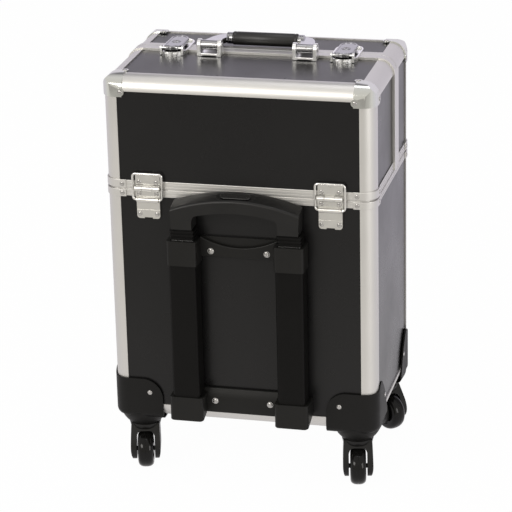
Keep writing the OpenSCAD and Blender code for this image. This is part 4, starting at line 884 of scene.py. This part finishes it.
# Push button. A glossier oval that frees the tubes' catches; its top follows the grip's slope.
button_low, button_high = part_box("trolley_button")
button = cut_sheet("trolley_button_moulded", [(19*MM, -5.5*MM), (19*MM, 5.5*MM), (-19*MM, 5.5*MM), (-19*MM, -5.5*MM)],
                   [5.4*MM]*4, seat_z + 0.3*MM - button_low.z)
place(button, Matrix.Translation((0, tube_y, button_low.z)))
for point in button.data.vertices:
    if point.co.z > button_low.z + 1*MM:
        point.co.z += (point.co.y - tube_y)*math.tan(lean)
roll_edges(button, lambda m, d: m.z > seat_z - 2.5*MM and abs(d.z) < 0.5, 1.2*MM, 4)
soften(button, 0.2*MM, 2, 50)
button_black = finish("button_plastic", (0.016, 0.0155, 0.015), (0.20, 0.32), grain_size=1500, grain_depth=0.05,
                      patch=50)
put_on(button, "trolley_button", "button_plastic", button_black, "trolley_button")


# Handle brackets. Two U-shaped brackets bent from thick sheet and chromed, riveted to the top
# panel; their ears hold the pins that the handle swings on.
bracket_low, bracket_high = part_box("handle_brackets")
ear_radius = (bracket_high.y - bracket_low.y)/2
hinge_y = bracket_low.y + ear_radius
hinge_z = bracket_high.z - ear_radius
bracket_half = 15.5*MM
handle_pin = 2.5*MM
bracket_x = bracket_high.x - bracket_half - 1*MM
bracket_height = bracket_high.z - bracket_low.z
brackets = []
for s in (-1, 1):
    inside = bracket_half - 4.8*MM
    bracket = cut_sheet("bracket", [(-bracket_half, 0), (-10.5*MM, 0), (-8*MM, 1*MM), (8*MM, 1*MM),
                                    (10.5*MM, 0), (bracket_half, 0), (bracket_half, bracket_height + 1*MM),
                                    (inside, bracket_height + 1*MM), (inside, 4*MM),
                                    (-inside, 4*MM), (-inside, bracket_height + 1*MM),
                                    (-bracket_half, bracket_height + 1*MM)],
                        [0, 0, 0, 0, 0, 0, 0, 0, 1.5*MM, 1.5*MM, 0, 0], 2*ear_radius + 2*MM)
    place(bracket, Matrix.Translation((0, hinge_y + ear_radius + 1*MM, bracket_low.z)) @ upright)
    side_cut = cut_sheet("side_cut", [(-ear_radius, -1*MM), (ear_radius, -1*MM),
                                      (ear_radius, bracket_height), (-ear_radius, bracket_height)],
                         [0, 0, ear_radius*0.98, ear_radius*0.98], 2*bracket_half + 4*MM)
    place(side_cut, Matrix.Translation((-bracket_half - 2*MM, hinge_y, bracket_low.z)) @ sideways)
    combine(bracket, side_cut, "INTERSECT")
    soften(bracket, 0.6*MM, 3)
    pin = turned("pin", [(0, -16.4*MM), (2.3*MM, -16.4*MM), (3.3*MM, -15.9*MM), (3.4*MM, -15.4*MM),
                         (handle_pin, -15.4*MM), (handle_pin, 15.4*MM), (3.4*MM, 15.4*MM),
                         (3.3*MM, 15.9*MM), (2.3*MM, 16.4*MM), (0, 16.4*MM)], 32)
    place(pin, Matrix.Translation((0, hinge_y, hinge_z)) @ Matrix.Rotation(math.pi/2, 4, "Y"))
    bracket = joined([bracket, pin], "bracket")
    brackets.append(place(bracket, Matrix.Translation((s*bracket_x, 0, 0))))
brackets = joined(brackets, "handle_brackets_bent")
sheet_chrome = finish("sheet_chrome", (0.90, 0.90, 0.89), (0.28, 0.38), metal=1.0, grain_size=900,
                      grain_depth=0.05, patch=60, shade=0.03)
put_on(brackets, "near_lid", "latch_chrome", sheet_chrome, "handle_brackets")

# Handle arms. A die-cast arm at either end, broad at its barrel and narrowing to a ribbed
# collar; a steel rod joins them through the grip.
arms_low, arms_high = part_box("handle_arms")
hold_low, hold_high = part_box("handle_grip")
hold_half = hold_high.x
hold_radius = (hold_high.z - hold_low.z)/2
hold_y = (hold_low.y + hold_high.y)/2
hold_z = (hold_low.z + hold_high.z)/2
drop = math.atan2(hinge_z - hold_z, hold_y - hinge_y)
arm_reach = math.hypot(hinge_z - hold_z, hold_y - hinge_y)
barrel_out = arms_high.x - 1.8*MM
barrel_in = 2*bracket_x - barrel_out
arm_corners = [(barrel_in + 0.5*MM, 0), (barrel_out - 0.5*MM, 0), (barrel_out - 0.5*MM, 12*MM),
               (hold_half + 22*MM, arm_reach - 5*MM), (hold_half + 15*MM, arm_reach + 5.6*MM),
               (hold_half + 4*MM, arm_reach + 6.4*MM), (hold_half + 4*MM, arm_reach - 6.5*MM),
               (barrel_in + 0.5*MM, 18*MM)]
arm = cut_sheet("arm", arm_corners, [0, 0, 5*MM, 9*MM, 6*MM, 1*MM, 1*MM, 7*MM], 7*MM)
place(arm, Matrix.Translation((0, 0, -3.5*MM)))
barrel = turned("barrel", [(0, barrel_in), (6*MM, barrel_in), (6*MM, barrel_out), (0, barrel_out)], 48)
place(barrel, Matrix.Rotation(math.pi/2, 4, "Y"))
combine(arm, barrel, "UNION")
bore = turned("bore", [(0, barrel_in - 5*MM), (handle_pin + 0.15*MM, barrel_in - 5*MM),
                       (handle_pin + 0.15*MM, barrel_out + 5*MM), (0, barrel_out + 5*MM)], 32)
place(bore, Matrix.Rotation(math.pi/2, 4, "Y"))
combine(arm, bore, "DIFFERENCE")
soften(arm, 1.1*MM, 3, 40)
ribs = [(0, hold_half + 0.1*MM), (7*MM, hold_half + 0.1*MM)]
for rib in range(4):
    start = hold_half + (0.1 + 2*rib)*MM
    ribs += [(7.5*MM, start + 0.3*MM), (7.5*MM, start + 1.1*MM), (6.6*MM, start + 1.4*MM), (6.6*MM, start + 1.9*MM)]
ribs += [(6.6*MM, hold_half + 8*MM), (0, hold_half + 8*MM)]
collar = turned("collar", ribs, 48)
place(collar, Matrix.Translation((0, arm_reach, 0)) @ Matrix.Rotation(math.pi/2, 4, "Y"))
right_arm = joined([arm, collar], "arm")
place(right_arm, Matrix.Translation((0, hinge_y, hinge_z)) @ Matrix.Rotation(-drop, 4, "X"))
left_arm = mirrored(right_arm, -1, 1, 0, "arm")
rod = turned("rod", [(0, -hold_half - 2*MM), (4*MM, -hold_half - 2*MM), (4*MM, hold_half + 2*MM),
                     (0, hold_half + 2*MM)], 32)
place(rod, Matrix.Translation((0, hold_y, hold_z)) @ Matrix.Rotation(math.pi/2, 4, "Y"))
arms = joined([right_arm, left_arm, rod], "handle_arms_cast")
bright_chrome = finish("bright_chrome", (0.47, 0.47, 0.48), (0.10, 0.18), metal=1.0, grain_size=900,
                       grain_depth=0.03, patch=60, shade=0.03)
put_on(arms, "carry_handle", "latch_chrome", bright_chrome, "handle_arms")

# Carry grip. A soft black plastic sleeve on the rod, with a bead near either end.
ends = [(4.1*MM, -hold_half), (hold_radius - 1.2*MM, -hold_half), (hold_radius - 0.35*MM, -hold_half + 0.4*MM),
        (hold_radius, -hold_half + 1.4*MM), (hold_radius, -hold_half + 3.4*MM),
        (hold_radius - 0.35*MM, -hold_half + 3.9*MM), (hold_radius - 0.35*MM, -hold_half + 4.5*MM),
        (hold_radius, -hold_half + 5*MM)]
sleeve = turned("handle_grip_moulded", ends + [(radius, -along) for radius, along in reversed(ends)], 64)
place(sleeve, Matrix.Translation((0, hold_y, hold_z)) @ Matrix.Rotation(math.pi/2, 4, "Y"))
hold_black = finish("soft_black", (0.010, 0.0098, 0.009), (0.34, 0.48), grain_size=1200, grain_depth=0.16,
                    patch=30, Specular_IOR_Level=0.5)
put_on(sleeve, "carry_handle", "grip_plastic", hold_black, "handle_grip")

# Latch dishes. An oval chromed dish under each lever, cut in two at the parting line: the near
# half holds the lever's pin between two ears, the far half is the strike. A black lining inside is painted shade in the
# hollow under the lever.
base_low, base_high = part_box("latch_bases")
strike_low, strike_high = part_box("latch_strikes")
dish_half_w = 17.5*MM
latch_x = base_high.x - dish_half_w
dish_top = strike_high.z
surface = base_low.z
parting = (base_high.y + strike_low.y)/2
dish_half_l = parting - base_low.y
rim_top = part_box("near_lid_split_rim")[1].z
rim_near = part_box("near_lid_split_rim")[0].y - 0.5*MM
rim_far = 2*parting - rim_near


def oval(name, half_w, half_l, low, high, middle=0):
    """A flat oval block, its long axis along Y."""
    plate = cut_sheet(name, [(half_w, -half_l), (half_w, half_l), (-half_w, half_l), (-half_w, -half_l)],
                      [half_w*0.995]*4, high - low)
    return place(plate, Matrix.Translation((0, middle, low)))


dish = oval("dish", dish_half_w, dish_half_l, surface, dish_top, parting)
hollow = oval("hollow", dish_half_w - 2*MM, dish_half_l - 2*MM, surface + 1.4*MM, dish_top + 9*MM, parting)
combine(dish, hollow, "DIFFERENCE")
pad = block("pad", (-dish_half_w + 1*MM, rim_near + 0.1*MM, rim_top - 0.6*MM),
            (dish_half_w - 1*MM, rim_far - 0.1*MM, rim_top + 0.9*MM))
combine(dish, pad, "UNION")
step = block("step", (-0.1, rim_near, surface - 1*MM), (0.1, rim_far, rim_top))
combine(dish, step, "DIFFERENCE")
far_dish = dish.copy()
far_dish.data = dish.data.copy()
bpy.context.collection.objects.link(far_dish)
combine(dish, block("keep", (-0.1, -0.2, 0), (0.1, base_high.y, 1)), "INTERSECT")
combine(far_dish, block("keep", (-0.1, strike_low.y, 0), (0.1, 0.2, 1)), "INTERSECT")
for half in (dish, far_dish):
    soften(half, 0.5*MM, 3)
lever_low, lever_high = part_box("left_latch_lever")
knuckle = 3.2*MM
lever_y = lever_low.y + 4*MM
lever_z = lever_low.z + knuckle
ears = []
for s in (-1, 1):
    ear = cut_sheet("ear", [(-3.5*MM, surface + 0.5*MM), (3.5*MM, surface + 0.5*MM), (3.5*MM, lever_z + 3.5*MM),
                            (-3.5*MM, lever_z + 3.5*MM)], [0, 0, 3.45*MM, 3.45*MM], 2.5*MM)
    place(ear, Matrix.Translation((13.75*MM*s - 1.25*MM, lever_y, 0)) @ sideways)
    soften(ear, 0.4*MM, 2)
    boss = turned("boss", [(0, surface), (3*MM, surface), (3*MM, dish_top - 2*MM), (2.2*MM, dish_top - 1*MM),
                           (0, dish_top - 0.7*MM)], 24, (5.3*MM*s, base_low.y + 1.4*MM, 0))
    ears += [ear, boss]
lever_pin = turned("pin", [(0, -15*MM), (1.5*MM, -15*MM), (1.5*MM, 15*MM), (0, 15*MM)], 24)
place(lever_pin, Matrix.Translation((0, lever_y, lever_z)) @ Matrix.Rotation(math.pi/2, 4, "Y"))
near_dish = joined([dish, lever_pin] + ears, "dish")
# The lining and the strip over the parting are black as painted shade under the lever.
lining = oval("lining", dish_half_w - 2.1*MM, dish_half_l - 2.1*MM, surface + 1.3*MM, surface + 1.9*MM, parting)
combine(lining, block("keep", (-0.1, -0.2, 0), (0.1, rim_near - 0.2*MM, 1)), "INTERSECT")
shade_pad = block("shade_pad", (-dish_half_w + 2.1*MM, rim_near, rim_top + 0.8*MM),
                 (dish_half_w - 2.1*MM, base_high.y - 0.2*MM, rim_top + 1.1*MM))
lining = joined([lining, shade_pad], "lining")


def at_both(piece, name):
    """The same piece at the left latch and at the right one, as one piece."""
    twin = piece.copy()
    twin.data = piece.data.copy()
    bpy.context.collection.objects.link(twin)
    place(piece, Matrix.Translation((-latch_x, 0, 0)))
    place(twin, Matrix.Translation((latch_x, 0, 0)))
    return joined([piece, twin], name)


put_on(at_both(near_dish, "latch_bases_pressed"), "near_lid", "latch_chrome", sheet_chrome, "latch_bases")
put_on(at_both(far_dish, "latch_strikes_pressed"), "far_lid", "latch_chrome", sheet_chrome, "latch_strikes")
put_on(at_both(lining, "latch_shade_linings"), "near_lid", "guard_plastic", moulded)

# Latch levers. A cast oval lever with a raised edge and a hole for the key plug, hinged at its
# near end; a black block underneath stands for the mechanism, its black painted shade in the gap under the lever.
lever_top = lever_z + 2.65*MM
lever_under = lever_z - 1.85*MM
lever_half_w = 11.5*MM
lever_half_l = (lever_high.y - lever_low.y)/2
lever_middle = (lever_high.y + lever_low.y)/2
plug_low, plug_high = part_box("left_key_plug")
plug_y = (plug_low.y + plug_high.y)/2
plug_radius = (plug_high.y - plug_low.y)/2
lever = oval("lever", lever_half_w, lever_half_l, lever_under, lever_top, lever_middle)
roll_edges(lever, lambda m, d: m.z > lever_top - 0.1*MM and abs(d.z) < 0.1, 1.1*MM, 3)
knuckle_bar = turned("knuckle", [(0, -8.6*MM), (knuckle - 0.6*MM, -8.6*MM), (knuckle, -8*MM), (knuckle, 8*MM),
                                 (knuckle - 0.6*MM, 8.6*MM), (0, 8.6*MM)], 32)
place(knuckle_bar, Matrix.Translation((0, lever_y, lever_z)) @ Matrix.Rotation(math.pi/2, 4, "Y"))
combine(lever, knuckle_bar, "UNION")
pin_hole = turned("pin_hole", [(0, -20*MM), (1.6*MM, -20*MM), (1.6*MM, 20*MM), (0, 20*MM)], 24)
place(pin_hole, Matrix.Translation((0, lever_y, lever_z)) @ Matrix.Rotation(math.pi/2, 4, "Y"))
combine(lever, pin_hole, "DIFFERENCE")
sink = oval("sink", lever_half_w - 2.6*MM, lever_half_l - 2.6*MM, lever_top - 0.4*MM, lever_top + 3*MM, lever_middle)
combine(lever, sink, "DIFFERENCE")
boss = turned("boss", [(0, lever_under + 1*MM), (plug_radius + 1.6*MM, lever_under + 1*MM),
                       (plug_radius + 1.6*MM, lever_top - 0.2*MM), (plug_radius + 1.2*MM, lever_top + 0.15*MM),
                       (0, lever_top + 0.15*MM)], 40, (0, plug_y, 0))
combine(lever, boss, "UNION")
hole = turned("hole", [(0, lever_under - 3*MM), (plug_radius + 0.1*MM, lever_under - 3*MM),
                       (plug_radius + 0.1*MM, lever_top + 3*MM), (0, lever_top + 3*MM)], 40, (0, plug_y, 0))
combine(lever, hole, "DIFFERENCE")
soften(lever, 0.25*MM, 2, 40)
# A black block under the lever: it stands for the mechanism, and its black is painted shade for the dark gap.
housing = block("housing", (-9.4*MM, lever_y + 3.8*MM, surface + 2.5*MM), (9.4*MM, rim_near - 0.6*MM, lever_under + 0.1*MM))
shade_nose = block("shade_nose", (-9.4*MM, rim_near - 1*MM, rim_top + 1.7*MM), (9.4*MM, lever_high.y - 9*MM, lever_under + 0.1*MM))
combine(housing, shade_nose, "UNION")
hole = turned("hole", [(0, surface), (plug_radius + 0.1*MM, surface), (plug_radius + 0.1*MM, lever_top),
                       (0, lever_top)], 40, (0, plug_y, 0))
combine(housing, hole, "DIFFERENCE")
soften(housing, 0.5*MM, 2, 40)

# Key plugs. Turned steel barrels with a key slot, flush with the levers; their steel is darkened past its own colour as
# painted shade for the keyhole.
plug = turned("plug", [(0, lever_under), (plug_radius, lever_under), (plug_radius, lever_top - 0.1*MM),
                       (plug_radius - 0.3*MM, lever_top + 0.2*MM), (plug_radius - 1.1*MM, lever_top + 0.25*MM),
                       (plug_radius - 1.3*MM, lever_top + 0.05*MM), (0, lever_top + 0.05*MM)], 40, (0, plug_y, 0))
key_slot = block("key_slot", (-0.6*MM, plug_y - 2.4*MM, lever_top - 1.6*MM), (0.6*MM, plug_y + 2.4*MM, lever_top + 1*MM))
combine(plug, key_slot, "DIFFERENCE")
satin_chrome = finish("satin_chrome", (0.35, 0.35, 0.36), (0.16, 0.26), metal=1.0, grain_size=1300,
                      grain_depth=0.05, patch=60, shade=0.04)
# The plug's steel is darkened so that the keyhole reads dark: partly its own colour, partly painted shade.
keyhole_shaded_steel = finish("turned_steel_painted_shade", (0.30, 0.295, 0.29), (0.18, 0.30), metal=1.0, grain_size=1800, grain_depth=0.08,
               patch=90, shade=0.06)
for side, s in (("left", -1), ("right", 1)):
    for piece, body, slot, finish_used, node in (
            (lever, side + "_latch", "latch_chrome", satin_chrome, side + "_latch_lever"),
            (housing, side + "_latch", "guard_plastic", moulded, None),
            (plug, side + "_key", "key_steel", keyhole_shaded_steel, side + "_key_plug")):
        own = piece.copy()
        own.data = piece.data.copy()
        own.name = side + "_" + piece.name + "_cast"
        bpy.context.collection.objects.link(own)
        place(own, Matrix.Translation((s*latch_x, 0, 0)))
        put_on(own, body, slot, finish_used, *([node] if node else []))
for piece in (lever, housing, plug):
    bpy.data.objects.remove(piece)
